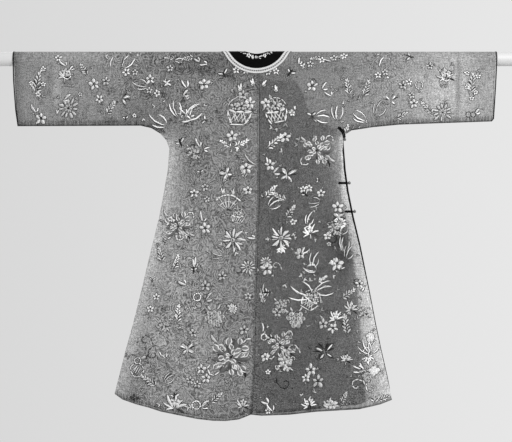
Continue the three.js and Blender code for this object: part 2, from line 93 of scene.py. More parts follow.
# Edges where back and front meet, (x, z) from the cuff along the underarm and down the side
LEFT_EDGE = [
    (-903, -254), (-437, -252), (-397, -261), (-362, -282), (-339, -309), (-328, -338),
    (-334, -420), (-348, -500), (-367, -600), (-392, -700), (-440, -900), (-465, -1000),
    (-493, -1100), (-521, -1200), (-535, -1268),
]
RIGHT_EDGE = [
    (893, -236), (543, -248), (440, -258), (362, -270), (340, -284), (331, -303), (334, -345),
    (340, -420), (351, -500), (371, -600), (395, -700), (435, -900), (454, -1000), (475, -1100),
    (498, -1200), (515, -1290),
]
LEFT_CUFF = [(-918, 0), (-916, -82), (-910, -195), (-903, -254)]
RIGHT_CUFF = [(910, 0), (905, -120), (901, -226), (893, -236)]
LEFT_JOIN, RIGHT_JOIN = -513, 507

# Seam down the middle, (z, x)
CENTRE_SEAM = [
    (-63, 9), (-534, 10), (-715, 3), (-960, -4), (-1164, -8), (-1307, -16), (LOWEST, -21),
]

# Back hem, (x, z), and how much higher the front hem is, (x, rise)
HEM = [
    (-535, -1268), (-506, -1288), (-453, -1305), (-404, -1318), (-359, -1333), (-302, -1344),
    (-220, -1360), (-163, -1367), (-114, -1368), (-65, -1362), (-20, -1344), (21, -1348),
    (124, -1344), (226, -1333), (389, -1324), (471, -1306), (515, -1290),
]
FRONT_RISE = [(-535, 3), (330, 5), (430, 20), (515, 43)]

# Free side edge of the underlap and curved top edge of the overlap, (x, z)
UNDERLAP_SIDE = [
    (340, -272), (312, -296), (317, -346), (324, -534), (354, -685), (378, -830), (392, -987),
    (407, -1175), (416, -1300),
]
OVERLAP_TOP = [
    (151, -82), (170, -108), (182, -140), (192, -178), (222, -214), (271, -248), (302, -263),
    (320, -282),
]
OVERLAP_START = -303
OVERLAP_CORNER = -1247
# The underlap's edge between its corner and the sleeve
UNDERLAP_SLEEVE = [(385, -266.5), (440, -258)]

# Width of the black binding down the overlap's side, (z, width), and the way over which it starts
BINDING_WIDTH = [(-303, 8), (-650, 7), (-830, 3.5), (-1250, 2.5)]
BINDING_FADE = 60

# Points of an edge that lie closer than this to its corner are left out
NEAR_CORNER, NEAR_SIDE_CORNER = 5, 20

# Folds and finer creases of the cloth by face, soft ridges and troughs from one place to
# another: x and z of both ends, half width, and rise, which is negative for a trough
FOLDS = {
    BACK: [
        (-780, -30, -777, -205, 11, -2.4), (-754, -45, -752, -215, 14, 2.2),
        (765, -25, 762, -180, 11, -3), (786, -30, 784, -170, 14, 1.8),
        (648, -15, 650, -60, 16, -2.2), (-425, -960, -455, -1290, 42, 6),
        (-345, -1080, -362, -1330, 36, -3.5), (-215, -820, -235, -1355, 48, 4),
        (-120, -620, -100, -1100, 44, -2.5), (-290, -330, -240, -620, 38, -2.5),
        (290, -320, 250, -640, 40, -3), (120, -760, 140, -1340, 50, 3.5),
        (300, -880, 345, -1320, 46, -3.5), (425, -1040, 450, -1300, 34, 4),
        (-781, -18, -778, -212, 4.5, -1.5), (-728, -40, -731, -190, 6, -0.9),
        (-640, -60, -622, -235, 8, 0.9), (-560, -30, -566, -150, 7, -0.9),
        (-478, -110, -430, -235, 9, 1.2), (-440, -90, -372, -262, 8, -1.3),
        (645, -12, 650, -96, 6, -1.4), (766, -12, 763, -196, 4.5, -1.6),
        (800, -30, 806, -150, 7, 0.9), (852, -188, 902, -214, 5, 1.5),
        (858, -202, 898, -231, 4.5, -1.4), (846, -176, 886, -190, 5, -1.1),
        (560, -60, 572, -210, 9, -1.0), (470, -120, 398, -258, 9, 1.2),
        (430, -80, 362, -240, 8, -1.2), (-330, -330, -262, -452, 8, -1.6),
        (-336, -360, -280, -520, 9, 1.3), (330, -320, 270, -420, 8, -1.6),
        (338, -372, 292, -520, 9, 1.2), (-190, -1304, -26, -1318, 6, 1.7),
        (-196, -1322, -60, -1334, 6, -1.5), (-300, -1250, -180, -1290, 9, 1.2),
        (-132, -90, -136, -560, 5, -0.9), (-136, -640, -128, -1180, 5, -0.8),
        (148, -110, 150, -600, 5, -0.9), (150, -700, 158, -1220, 5, -0.8),
        (-300, -402, 300, -398, 5, -0.7), (-360, -808, 372, -800, 5, -0.8),
        (-470, -1080, -300, -1160, 14, 1.5), (440, -1120, 300, -1200, 13, 1.3),
        (60, -1240, 220, -1296, 9, 1.2), (-70, -1180, -90, -1350, 9, -1.4),
        (40, -1150, 52, -1340, 9, 1.2),
    ],
    FRONT: [
        (-300, -330, -250, -700, 40, -3), (-380, -820, -420, -1300, 46, 5),
        (-160, -560, -190, -1330, 52, 4), (110, -700, 90, -1320, 48, -3),
        (250, -480, 290, -1290, 50, 4.5), (-640, -40, -650, -210, 26, -3),
        (690, -40, 700, -200, 26, -3), (-760, -30, -764, -210, 5, -1.4),
        (-560, -40, -552, -200, 8, 1.0), (-450, -90, -380, -255, 9, -1.3),
        (560, -50, 566, -210, 8, -1.1), (780, -30, 776, -190, 5, -1.5),
        (452, -90, 384, -250, 9, 1.2), (-330, -330, -250, -470, 8, -1.6),
        (326, -340, 250, -460, 8, -1.4), (-140, -90, -146, -640, 5, -0.9),
        (-300, -404, 300, -402, 5, -0.7), (-370, -806, 380, -802, 5, -0.8),
        (-240, -1240, -90, -1290, 9, 1.4), (150, -1190, 290, -1260, 10, 1.3),
        (180, -560, 172, -1180, 5, -0.8),
    ],
}
# They begin this far below the rod, are full where the cloth hangs this deep, and fade towards
# the sides over this way
FOLD_START, FOLD_DEPTH, FOLD_SIDE = 34, 12, 40

# Valley along the centre seams
VALLEY_WIDTH = 14
VALLEY_DEPTH = 3.2
VALLEY_TOP, VALLEY_FULL = -60, -260

# Soft patches where the gauze is painted darker or lighter, partly its own tone and partly painted
# shade and light of creases, billows and the light from the right: x and z, half sizes and share
SHADE_AND_TONE_PATCHES = [
    (-190, -20, 110, 60, -0.45), (-430, -140, 90, 130, -0.1), (-760, -110, 210, 220, 0.52),
    (-700, 20, 210, 40, 0.42), (-755, -120, 15, 70, 0.5), (-905, -110, 22, 400, -0.55),
    (-310, -920, 190, 470, 0.68), (-100, -1325, 110, 14, -0.2), (-585, -180, 60, 50, 0.22),
    (-425, -215, 45, 40, -0.25), (-781, -100, 9, 70, -0.5), (170, -760, 130, 420, -0.08),
    (190, -1200, 150, 190, -0.08), (760, -120, 270, 200, 1.45), (763, -110, 9, 95, -1.3),
    (779, -110, 9, 90, 0.5), (644, -90, 14, 100, -0.25), (400, -150, 80, 130, 0.1),
    (362, -700, 70, 110, -0.7), (870, -110, 60, 200, -0.45), (700, -110, 90, 110, 0.28),
    (430, -1000, 80, 150, 0.25), (-560, -30, 130, 40, 0.15), (640, -20, 160, 40, -0.2),
]
# Painted light makes the gauze lighter along its sides and past the underlap, where light shows
# through two layers alone; painted shade makes it darker over all three layers
SIDE_LIGHT, SIDE_REACH = 1.35, 44
TWO_LAYER_LIGHT, THREE_LAYER_SHADE, LAYER_EDGE = 0.9, -0.3, 7
# That starts below the sleeves, (height, way). The dark line of a turned edge ends there: lower
# down, the sides count as this far away
LIGHT_BELOW, LAYERS_BELOW = (-260, 60), (-280, 40)
FAR = 1000

# A frog's strap: its ends on the cloth, width, bow to one side, and whether it lies on the underlap
Strap = namedtuple("Strap", "name face x1 z1 x2 z2 width bow under", defaults=(0, False))
STRAPS = [
    Strap("neck_button", FRONT, 129, -74.8, 113, -101, 7),
    Strap("neck_loop", FRONT, 135, -65, 152, -37, 7, 0, True),
    Strap("chest_button", FRONT, 178, -152.5, 146, -159, 7),
    Strap("chest_loop", FRONT, 189, -149.5, 221, -143, 7, 0, True),
    Strap("armpit_button", FRONT, 331, -307.8, 301, -318, 9, 3),
    Strap("armpit_loop", BACK, 312, -259, 335, -299, 10, 5),
    Strap("upper_side_button", FRONT, 347.2, -469, 312, -469, 7),
    Strap("upper_side_loop", BACK, 313, -469, 347.2, -469, 7),
    Strap("lower_side_button", FRONT, 367, -577, 332, -577, 7),
    Strap("lower_side_loop", BACK, 337, -577, 367, -577, 7),
]
BUTTONS = ["neck", "chest", "armpit", "upper_side", "lower_side"]

# A doubled cord's two runs lie this share of the strap's width off its middle line, and half a
# run's width is this share of that. A run's middle lies this high and is this thick each way
CORD_SHARE, CORD_FILL = 0.3, 0.92
CORD_LIFT, CORD_THICK = 2.45, 1.25

# A ball button's parts as shares of its radius: the shank's ring, its wire and its height, the
# ball, and the margin and rise of its flutes. The flutes lie between these heights
SHANK_RING, SHANK_WIRE, SHANK_HEIGHT = 0.34, 0.12, 0.84
BALL, FLUTE_MARGIN, FLUTE_RISE = 0.97, 0.05, 0.03
FLUTE_LOW, FLUTE_HIGH = 0.2, 0.8

# Heights over the cloth's middle sheet of the neck's trims: underside, band's top, braid's top
TRIM_UNDERSIDE, BAND_TOP, BRAID_TOP = 0.8, 2.0, 2.8

# The underlap's motifs show on the shoulder alone: past this x, above this z
UNDERLAP_SHOWS = (300, -230)

# Stitches keep this far from a panel's edge, and start this high over its middle sheet
PANEL_MARGIN = 2.5
SILK_LIFT, BAND_SILK_LIFT = 0.42, 2.1

# The front's motifs hang this much lower than the back's, none above this height, and are turned
FRONT_DROP, FRONT_TOP, FRONT_TURN = 14, -26, 25

# Start of the draws that make the stitches uneven
SEED = 11

# Shades of the embroidery silks, and of the stitch round the light ones
WHITE, LIGHT, DARK, BLACK = 1.0, 0.72, 0.05, 0.01
OUTLINE = 0.05

# How strongly the two layers of weave cross into rings, (x, share), and the way over which that
# grows from the sides
MOIRE = [(-620, 0.15), (-500, 0.9), (0, 1.0), (12, 0.3), (330, 0.25), (500, 0.6), (620, 0.1)]
MOIRE_REACH = 130

# Motifs on the back: kind, shade and places, each x, z, radius, and a turn in degrees if it has
# one. panel_motifs sorts them, and the random draws follow that order
Place = namedtuple("Place", "x z radius turn", defaults=(0,))
BACK_MOTIFS = [
    ("basket", LIGHT, [
        (-68, -587, 34), (-60, -187, 57, -12), (72, -187, 57, 12), (211, -904, 49, -35),
    ]),
    ("blossom", WHITE, [
        (-848, -93, 11, 10), (-822, -135, 11), (-814, -225, 23), (-803, -97, 11), (-803, -40, 11),
        (-746, 1, 15), (-611, -97, 23, 10), (-592, -153, 19, 30), (-490, -52, 19, 20),
        (-460, -214, 11), (-400, -945, 15), (-400, -78, 19), (-377, -900, 15), (-373, -131, 15, 20),
        (-324, -613, 23), (-234, -508, 19), (-207, -1171, 19), (-196, -97, 26), (-192, -640, 26),
        (-188, -1205, 19), (-90, -293, 23), (-75, -44, 15), (-38, -414, 23), (-30, -497, 19),
        (-23, -169, 23), (34, -1126, 19), (38, -169, 23), (41, -794, 26), (45, -1330, 15),
        (45, -1183, 11), (53, -402, 23), (75, -48, 15), (109, -297, 23), (136, -206, 15),
        (139, -617, 15), (177, -493, 15), (188, -1205, 19), (200, -489, 15), (207, -1175, 23),
        (211, -104, 26), (245, -508, 19), (249, -6, 15), (271, -670, 19), (287, -1307, 23),
        (290, -1017, 23, 180), (294, -768, 15), (305, -775, 26), (309, -561, 23), (332, 9, 15),
        (392, -851, 19), (460, -63, 15), (505, -74, 15), (577, -89, 15), (596, -169, 19),
        (795, -108, 11), (795, -55, 11), (814, -150, 11), (829, -127, 11), (837, -67, 11),
    ]),
    ("blossom", LIGHT, [
        (-664, -135, 11), (-566, -86, 19), (-456, -52, 15), (-403, -120, 15), (-362, -346, 19),
        (-324, -37, 15), (-249, -1213, 19), (-238, -1036, 19), (-222, -1228, 15), (-192, -858, 23),
        (-192, -485, 19), (-185, -530, 15), (-128, -821, 19), (-94, -938, 15), (-49, -138, 19),
        (-45, -1024, 23), (-38, -48, 15), (-30, -896, 15), (45, -52, 15), (79, -960, 19),
        (166, -738, 23), (204, -21, 15), (234, -1217, 26), (253, -1002, 23), (275, -700, 11),
        (294, 1, 15), (486, -52, 15), (554, -101, 19), (588, -138, 15), (656, -29, 15),
    ]),
    ("blossom", DARK, [(-460, -1284, 23)]),
    ("bud", WHITE, [
        (-750, -199, 11), (-230, -768, 19), (-124, -497, 15), (-72, -342, 11), (-60, -108, 15),
        (-15, -89, 15, 20), (30, -93, 15, -20), (75, -112, 15), (147, -184, 9),
    ]),
    ("bud", LIGHT, [(-87, -504, 15, 20)]),
    ("butterfly", WHITE, [(-336, -93, 19, 10)]),
    ("butterfly", LIGHT, [
        (-505, -150, 34, -20), (-260, -1096, 34, 10), (-113, -436, 30, 30), (117, -440, 34, -10),
        (313, -598, 26, 180), (509, -157, 30, 10),
    ]),
    ("butterfly", DARK, [(260, -1107, 41, 10)]),
    ("chrysanthemum", WHITE, [(-87, -945, 19), (317, -621, 26)]),
    ("chrysanthemum", LIGHT, [(-709, -187, 41), (-30, -787, 26), (38, -768, 23), (705, -202, 41)]),
    ("fan", LIGHT, [(-106, -542, 41)]),
    ("fruit", WHITE, [(434, -1051, 23), (445, -1179, 26)]),
    ("gourd", LIGHT, [(-449, -1160, 41, -20)]),
    ("insect", LIGHT, [(177, -29, 15, 20)]),
    ("insect", DARK, [
        (-724, -172, 15, 20), (-392, -836, 15), (-264, -662, 15), (-211, -429, 15),
        (-192, -233, 19, 70), (260, -383, 19), (320, -794, 15), (581, 5, 19, 80),
    ]),
    ("insect", BLACK, [
        (-814, -221, 15, 40), (-494, -225, 15), (-309, -1277, 19), (-287, -319, 23, 20),
        (-287, -18, 11), (-234, -798, 19), (-196, -97, 11), (-121, -59, 23, 30), (41, -881, 19, 80),
        (60, -1054, 19, 80), (128, -55, 23, -30), (188, -512, 15, 40), (200, -1303, 26, 20),
        (211, -214, 19), (234, -459, 11, 90), (449, -1296, 19), (509, -1228, 15, 40),
        (697, -48, 11), (735, -55, 11),
    ]),
    ("knot", LIGHT, [(-155, -979, 41), (151, -983, 45, -8), (422, -1201, 23)]),
    ("leaf", WHITE, [
        (-837, -187, 19, 20), (-728, -18, 19, 50), (-709, -146, 19, -60), (-694, -33, 15, -40),
        (-351, -1115, 19, 30), (-283, -843, 23, 60), (-275, -195, 19, 40), (-271, -93, 23, 30),
        (-264, -233, 19, 100), (-260, -127, 19, -50), (-241, -202, 19, -30), (-219, -316, 19, 30),
        (-200, -595, 23), (-200, -21, 19, 90), (-188, -1307, 23, -60), (-181, -338, 19, -70),
        (-19, -677, 19, 85), (23, -670, 23, -85), (26, -383, 23, 50), (30, -1296, 19, 70),
        (53, -1318, 19, 40), (83, -421, 23, -60), (166, -730, 23, 10), (166, -6, 19, -20),
        (181, -719, 19, -30), (264, -101, 23, -40), (271, -131, 19, 60), (381, -1160, 23, 60),
        (388, -1175, 23, 90), (403, -874, 15, 160), (841, -195, 19, -40),
    ]),
    ("leaf", LIGHT, [
        (-294, -3, 15, -70), (-226, -6, 15, 60), (-177, -900, 19, -40), (271, -6, 15, 70),
    ]),
    ("peony", WHITE, [(109, -1149, 30)]),
    ("peony", LIGHT, [
        (-351, -1005, 26), (-294, -632, 53), (-238, -353, 26), (-94, -1126, 75),
        (90, -1081, 53, 10), (94, -934, 30), (230, -346, 64), (294, -644, 26), (407, -960, 23),
    ]),
    ("plant", WHITE, [
        (-305, -1300, 53), (94, -723, 30, 180), (200, -1300, 38), (204, -647, 38), (302, -972, 41),
        (422, -1137, 34, 180),
    ]),
    ("plant", LIGHT, [
        (-720, -55, 41, -10), (-49, -1300, 38), (279, -1303, 41), (343, -1130, 34, -10),
        (362, -938, 34, -10), (716, -59, 45, 5),
    ]),
    ("reeds", WHITE, [
        (-528, -6, 34, -25), (-486, -6, 38, -35), (-377, -229, 45, 50), (-305, -184, 38, 10),
        (-234, -202, 45, -60), (11, -1005, 34, 10), (75, -542, 38, -60), (166, -877, 53, 65),
        (200, -791, 30, 60), (204, -602, 30, -20), (211, -787, 23, -88), (222, -760, 30, -20),
        (260, -218, 38, -90), (264, -866, 45, -70), (305, -195, 38), (336, -644, 26, -50),
        (385, -218, 38, 60), (415, -1088, 30, 20), (445, -1088, 26, -30), (494, -14, 34, -45),
    ]),
    ("reeds", LIGHT, [
        (-437, -97, 30, 60), (-324, -1205, 30, -50), (-147, -738, 26, 70), (-19, -383, 30, 40),
        (34, -874, 26), (215, -538, 26, 80), (336, -696, 34, -10), (351, -730, 30, -20),
        (467, -187, 34, -30), (513, -14, 30, -55),
    ]),
    ("ring", WHITE, [
        (-713, -63, 19), (-287, -670, 19), (-226, -1307, 19), (-222, -900, 19), (30, -1051, 15),
        (196, -644, 15), (418, -1103, 15), (716, -70, 19),
    ]),
    ("ring", LIGHT, [(615, -101, 19)]),
    ("ring", BLACK, [
        (215, -89, 15), (290, -681, 19), (381, -843, 15), (803, -210, 13), (822, -210, 13),
    ]),
    ("scroll", WHITE, [(-113, -1156, 26)]),
    ("scroll", LIGHT, [(75, -783, 19), (136, -1100, 26), (381, -1235, 34), (434, -1243, 23, 120)]),
    ("scroll", DARK, [(-418, -1066, 30), (-388, -1115, 30, 100), (53, -1273, 19)]),
    ("scroll", BLACK, [(109, -1224, 30, 180)]),
    ("sprig", WHITE, [
        (-302, -768, 34, -20), (-294, -964, 41, -10), (-113, -323, 30, 50), (-60, -323, 38, -60),
        (53, -504, 38, -40), (68, -316, 45, -50), (249, -832, 26, -60),
    ]),
    ("sprig", LIGHT, [
        (-826, -97, 49, -8), (-648, -44, 30, 30), (-550, -187, 34, -40), (-400, -1220, 41, 60),
        (-362, -742, 34, 15), (-343, -414, 38, -30), (-324, 1, 23, 80), (-256, 1, 26, 100),
        (-249, -945, 26, -70), (-151, -1281, 34, -50), (-49, -432, 26, 20), (23, -907, 23, 20),
        (90, -523, 38, 60), (128, -579, 34, -30), (226, 1, 23, 100), (320, 5, 19, 80),
        (332, -1281, 26, -30), (339, -1009, 45, 10), (339, -278, 34, -20), (347, -889, 34, -60),
        (347, -112, 41, 10), (415, -116, 41, -12), (479, -1284, 34, -70), (550, -214, 30, -60),
        (648, -187, 34, 40), (814, -97, 49, -5),
    ]),
    ("star", WHITE, [(-87, -685, 45), (94, -677, 49)]),
]


def smooth(share):
    """0 to 1 with an even start and end."""
    t = np.clip(share, 0, 1)
    return t * t * (3 - 2 * t)


def below(z, start, way):
    """0 down to a height, then rising to 1 over the way down from it."""
    return smooth((start - z) / way)


def between(table, place):
    """Value read off a two-column table, whose first column may fall."""
    columns = np.array(sorted(table)).T
    return np.interp(place, columns[0], columns[1])


def segment_distance(x, z, start, end):
    """Distance from places to the line between two others."""
    dx, dz = end[0] - start[0], end[1] - start[1]
    t = np.clip(((x - start[0]) * dx + (z - start[1]) * dz) / (dx * dx + dz * dz), 0, 1)
    return np.hypot(x - start[0] - t * dx, z - start[1] - t * dz)


def edge_distance(x, z):
    """Distance to the line where back and front meet."""
    sides = [
        np.min([segment_distance(x, z, a, b) for a, b in zip(edge, edge[1:])], axis=0)
        for edge in (LEFT_EDGE, RIGHT_EDGE)
    ]
    return np.where(x < 0, *sides)


def fold_rise(x, z, face):
    """How far folds, creases and the valley at the centre seam lift the cloth."""
    rise = np.zeros_like(x)
    for side, folds in FOLDS.items():
        for x1, z1, x2, z2, width, height in folds:
            away = segment_distance(x, z, (x1, z1), (x2, z2)) / width
            rise += np.where(face == side, height * np.exp(-(away**2)), 0)
    from_seam = (x - between(CENTRE_SEAM, z)) / VALLEY_WIDTH
    valley = smooth((z - VALLEY_TOP) / (VALLEY_FULL - VALLEY_TOP))
    return rise - VALLEY_DEPTH * valley * np.exp(-(from_seam**2))


def hang_depth(x, z, face, under):
    """Distance of the hanging cloth from the robe's middle plane."""
    edge = edge_distance(x, z)
    full = DRAPE_RADIUS + (HEM_DEPTH - DRAPE_RADIUS) * smooth(z / LOWEST)
    share = np.minimum(1, edge / SWELL_REACH)
    depth = EDGE_DEPTH + (full - EDGE_DEPTH) * share * (1.5 - 0.5 * share**2)
    rise = fold_rise(x, z, face) * smooth(-z / FOLD_START) * smooth(edge / FOLD_SIDE)
    depth = depth + rise * np.minimum(1, depth / FOLD_DEPTH)
    if under:
        start, end = SLEEVE_FADE
        sleeve = np.where(z > SLEEVE_FADE_ABOVE, (x - start) / (end - start), 0)
        inward = UNDER_STEP * smooth(-z / UNDER_RUN) * (1 - smooth(sleeve))
        depth = depth - np.where(face == FRONT, inward * np.minimum(1, edge / UNDER_EDGE), 0)
    return depth


def hung(x, run, under=False):
    """Places on the middle of the hung cloth."""
    way = np.abs(run)
    face = np.where(run > 0, BACK, FRONT)
    angle = np.minimum(way, QUARTER) / DRAPE_RADIUS
    z = np.minimum(0, QUARTER - way)
    on_rod = way <= QUARTER
    depth = np.where(on_rod, DRAPE_RADIUS * np.sin(angle), hang_depth(x, z, face, under))
    height = np.where(on_rod, DRAPE_RADIUS * np.cos(angle), z)
    return np.stack([x, -face * depth, height], -1)


def lifted(x, run, lift, under=False):
    """The same places moved out from the cloth."""
    across = hung(x + 1, run, under) - hung(x - 1, run, under)
    down = hung(x, run + 1, under) - hung(x, run - 1, under)
    outward = np.cross(down, across)
    outward /= np.linalg.norm(outward, axis=-1, keepdims=True)
    return hung(x, run, under) + outward * np.asarray(lift)[..., None]


def run_of(z, face):
    """Way over the cloth from the rod's top line to a height."""
    return face * (QUARTER - np.asarray(z, float))


def hang(rows, face):
    """Flat places of hanging ones, (x, z)."""
    return [(x, float(run_of(z, face))) for x, z in rows]


def neck_arc(radius, start, end, step=6):
    """Flat places on a circle round the neck, from one angle to another in degrees."""
    steps = max(1, round(abs(end - start) / step))
    angles = np.radians(np.linspace(start, end, steps + 1))
    return [(NECK_X + radius * math.cos(a), NECK_RUN + radius * math.sin(a)) for a in angles]


def neck_angle(x, face):
    """Angle at which the neck's edge crosses a line down the cloth."""
    return face * math.degrees(math.acos((x - NECK_X) / NECK_RADIUS))


FRONT_HEM = [(x, z + float(between(FRONT_RISE, x))) for x, z in HEM]


def centre_line(side, face, hem):
    """Centre seam of one panel, from the neck to the hem."""
    offset = side * HALF_GAP
    z = LOWEST
    for _ in range(8):
        z = float(between(hem, between(CENTRE_SEAM, z) + offset))
    end = (float(between(CENTRE_SEAM, z)) + offset, z)
    rows = [(x + offset, row_z) for row_z, x in CENTRE_SEAM if row_z > z + NEAR_CORNER]
    return [*hang(rows, face), *hang([end], face)]


def left_body_outline():
    """Centre seams, hems, sides and neck of the left panel, back first."""
    join = LEFT_JOIN + HALF_GAP

    def half(face, hem):
        centre = centre_line(-1, face, hem)
        hem_rows = [row for row in hem if row[0] < centre[-1][0] - NEAR_CORNER][::-1]
        corner = hem_rows[-1][1] + NEAR_SIDE_CORNER
        sides = [row for row in LEFT_EDGE if row[0] > join and row[1] > corner]
        top = (join, float(between(LEFT_EDGE[:2], join)))
        return centre + hang([*hem_rows, *sides[::-1], top], face)

    seam = CENTRE_SEAM[0][1] - HALF_GAP
    neck = neck_arc(NECK_RADIUS, 360 + neck_angle(seam, FRONT), neck_angle(seam, BACK))
    return half(BACK, HEM) + half(FRONT, FRONT_HEM)[::-1] + neck


def binding_width(z):
    return float(between(BINDING_WIDTH, z))


def back_inset(z):
    """How far the back panel stops short of the overlap's binding."""
    return binding_width(z) * float(below(z, OVERLAP_START, BINDING_FADE))


def hem_between(hem, start, stop=None):
    """The hem's points from one corner to the next, or to the side."""
    last = stop[0] - NEAR_CORNER if stop else math.inf
    return [row for row in hem if start[0] + NEAR_CORNER < row[0] < last]


def right_body_outline():
    """The same of the right panel, whose front is the underlap."""
    join = RIGHT_JOIN - HALF_GAP
    join_row = (join, float(between(RIGHT_EDGE[1:3], join)))
    back = centre_line(1, BACK, HEM)
    side = [(x - back_inset(z), z) for x, z in RIGHT_EDGE if x < join and z > OVERLAP_CORNER]
    back += hang([*hem_between(HEM, back[-1]), *side[::-1], join_row], BACK)
    front = centre_line(1, FRONT, FRONT_HEM)
    hem = hem_between(FRONT_HEM, front[-1], UNDERLAP_SIDE[-1])
    front += hang([*hem, *UNDERLAP_SIDE[::-1], *UNDERLAP_SLEEVE, join_row], FRONT)
    seam = CENTRE_SEAM[0][1] + HALF_GAP
    neck = neck_arc(NECK_RADIUS, neck_angle(seam, FRONT), neck_angle(seam, BACK))
    return back + front[::-1] + neck


def overlap_side():
    corner = (float(between([(z, x) for x, z in RIGHT_EDGE], OVERLAP_CORNER)), OVERLAP_CORNER)
    low = OVERLAP_CORNER + NEAR_SIDE_CORNER
    return [row for row in RIGHT_EDGE if low < row[1] <= OVERLAP_START] + [corner]


def overlap_outline():
    """Centre seam, hem, side, curved top, closure and neck of the overlap."""
    centre = centre_line(1, FRONT, FRONT_HEM)
    side = [(x - binding_width(z) - SEAM_GAP, z) for x, z in overlap_side()]
    hem = hem_between(FRONT_HEM, centre[-1], side[-1])
    closure = neck_arc(BRAID_RADIUS, CLOSURE_ANGLE, CLOSURE_ANGLE + 1)[:1]
    seam = CENTRE_SEAM[0][1] + HALF_GAP
    neck = neck_arc(NECK_RADIUS, CLOSURE_ANGLE, neck_angle(seam, FRONT))
    return centre + hang(hem + side[::-1] + OVERLAP_TOP[::-1], FRONT) + closure + neck


def over_rod(rows):
    """A line from the back edge over the rod to the front edge."""
    return hang(rows[::-1], BACK) + hang(rows, FRONT)


def sleeve_outline(edge, cuff, join, side):
    """Cuff and join of a sleeve extension, each over the rod."""
    inset = side * (CUFF_BINDING + SEAM_GAP)
    cuff_line = [(x - inset, z) for x, z in cuff]
    bottom = (join + side * HALF_GAP, float(between(edge[:3], join)))
    past_join = [row for row in edge[1:2] if abs(row[0]) > abs(join) + NEAR_CORNER]
    return over_rod(cuff_line) + over_rod([(bottom[0], 0), bottom, *past_join])[::-1]


def clip(points, axis, limit, side):
    """The part of a flat outline past a line across it, side being 1 or -1."""
    kept = []
    for point, following in zip(points, points[1:] + points[:1]):
        past = (point[axis] - limit) * side >= 0
        if past:
            kept.append(point)
        if past != ((following[axis] - limit) * side >= 0):
            share = (limit - point[axis]) / (following[axis] - point[axis])
            cross = [a + share * (b - a) for a, b in zip(point, following)]
            cross[axis] = limit
            kept.append(tuple(cross))
    return kept


def without_spikes(points):
    """An outline without the lines there and back that clipping leaves along its borders."""
    i = 0
    while i < len(points) and len(points) > 2:
        (ax, ay), (bx, by), (cx, cy) = points[i - 1], points[i], points[(i + 1) % len(points)]
        cross = (bx - ax) * (cy - by) - (by - ay) * (cx - bx)
        if abs(cross) < 1e-6 and (bx - ax) * (cx - bx) + (by - ay) * (cy - by) <= 0:
            points = points[:i] + points[i + 1:]
            i = 0
        else:
            i += 1
    return points


def cut_flat(outline, step):
    """Places and faces of a flat outline, filled with a grid."""
    index, faces = {}, []
    columns, rows = (
        np.linspace(low - 1, high + 1, 2 + int((high - low) / step)).tolist()
        for low, high in zip(np.min(outline, axis=0), np.max(outline, axis=0))
    )
    for left, right in zip(columns, columns[1:]):
        column = clip(clip(outline, 0, left, 1), 0, right, -1)
        for top, bottom in zip(rows, rows[1:]):
            if len(column) < 3:
                break
            cell = without_spikes(clip(clip(column, 1, top, 1), 1, bottom, -1))
            corners = [index.setdefault((round(x, 3), round(y, 3)), len(index)) for x, y in cell]
            corners = [c for i, c in enumerate(corners) if c not in corners[:i]]
            if len(corners) > 2:
                faces.append(corners[::-1])
    return np.array(list(index), float), faces


def new_piece(name, places, faces, uv, node, material):
    """A mesh in metres from places in millimetres, on the robe's one body."""
    mesh = bpy.data.meshes.new(name)
    mesh.from_pydata((np.asarray(places) * MM).tolist(), [], faces)
    layer = mesh.uv_layers.new(name="cloth")
    corners = np.empty(len(mesh.loops), int)
    mesh.loops.foreach_get("vertex_index", corners)
    layer.data.foreach_set("uv", (np.asarray(uv) * MM)[corners].ravel())
    mesh.polygons.foreach_set("use_smooth", [True] * len(mesh.polygons))
    mesh.materials.append(material)
    piece = bpy.data.objects.new(name, mesh)
    bpy.context.scene.collection.objects.link(piece)
    return settle(piece, node)


def settle(piece, node):
    """The piece stands for its node and rides on the robe's body."""
    if node:
        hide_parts(node)
    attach(piece, "root")
    return piece


def paint(mesh, name, values):
    """Stores one value a vertex, which a material reads."""
    mesh.attributes.new(name, "FLOAT", "POINT").data.foreach_set("value", np.asarray(values, float))


def deselect():
    if bpy.context.object and bpy.context.object.mode != "OBJECT":
        bpy.ops.object.mode_set(mode="OBJECT")
    bpy.ops.object.select_all(action="DESELECT")


def select_only(piece):
    deselect()
    piece.select_set(True)
    bpy.context.view_layer.objects.active = piece


def thicken(piece, thickness):
    """Gives a middle sheet its thickness."""
    select_only(piece)
    wall = piece.modifiers.new("thickness", "SOLIDIFY")
    wall.thickness = thickness
    wall.offset = 0
    wall.use_even_offset = True
    bpy.ops.object.modifier_apply(modifier=wall.name)


def tone_and_painted_light(x, z):
    """Lightness of the gauze: its tone, with painted shade and light from its patches, painted
    light along its sides, and painted light and shade from the layers behind it.
    """
    tone = np.ones_like(x)
    for patch_x, patch_z, across, down, change in SHADE_AND_TONE_PATCHES:
        tone += change * np.exp(-(((x - patch_x) / across) ** 2 + ((z - patch_z) / down) ** 2))
    hung_below = smooth((np.interp(x, *np.array(OVERLAP_TOP).T) - z) / LAYER_EDGE)
    past_seam = smooth((x - between(CENTRE_SEAM, z)) / LAYER_EDGE)
    past_side = smooth((x - between([(z, x) for x, z in UNDERLAP_SIDE], z)) / LAYER_EDGE)
    # Painted shade where light shows through all three layers, painted light where it shows through
    # two, and painted light along the sides
    tone += THREE_LAYER_SHADE * hung_below * past_seam * (1 - past_side)
    tone += TWO_LAYER_LIGHT * hung_below * past_side * below(z, *LAYERS_BELOW)
    near_side = np.exp(-((edge_distance(x, z) / SIDE_REACH) ** 2))
    return tone + SIDE_LIGHT * below(z, *LIGHT_BELOW) * near_side


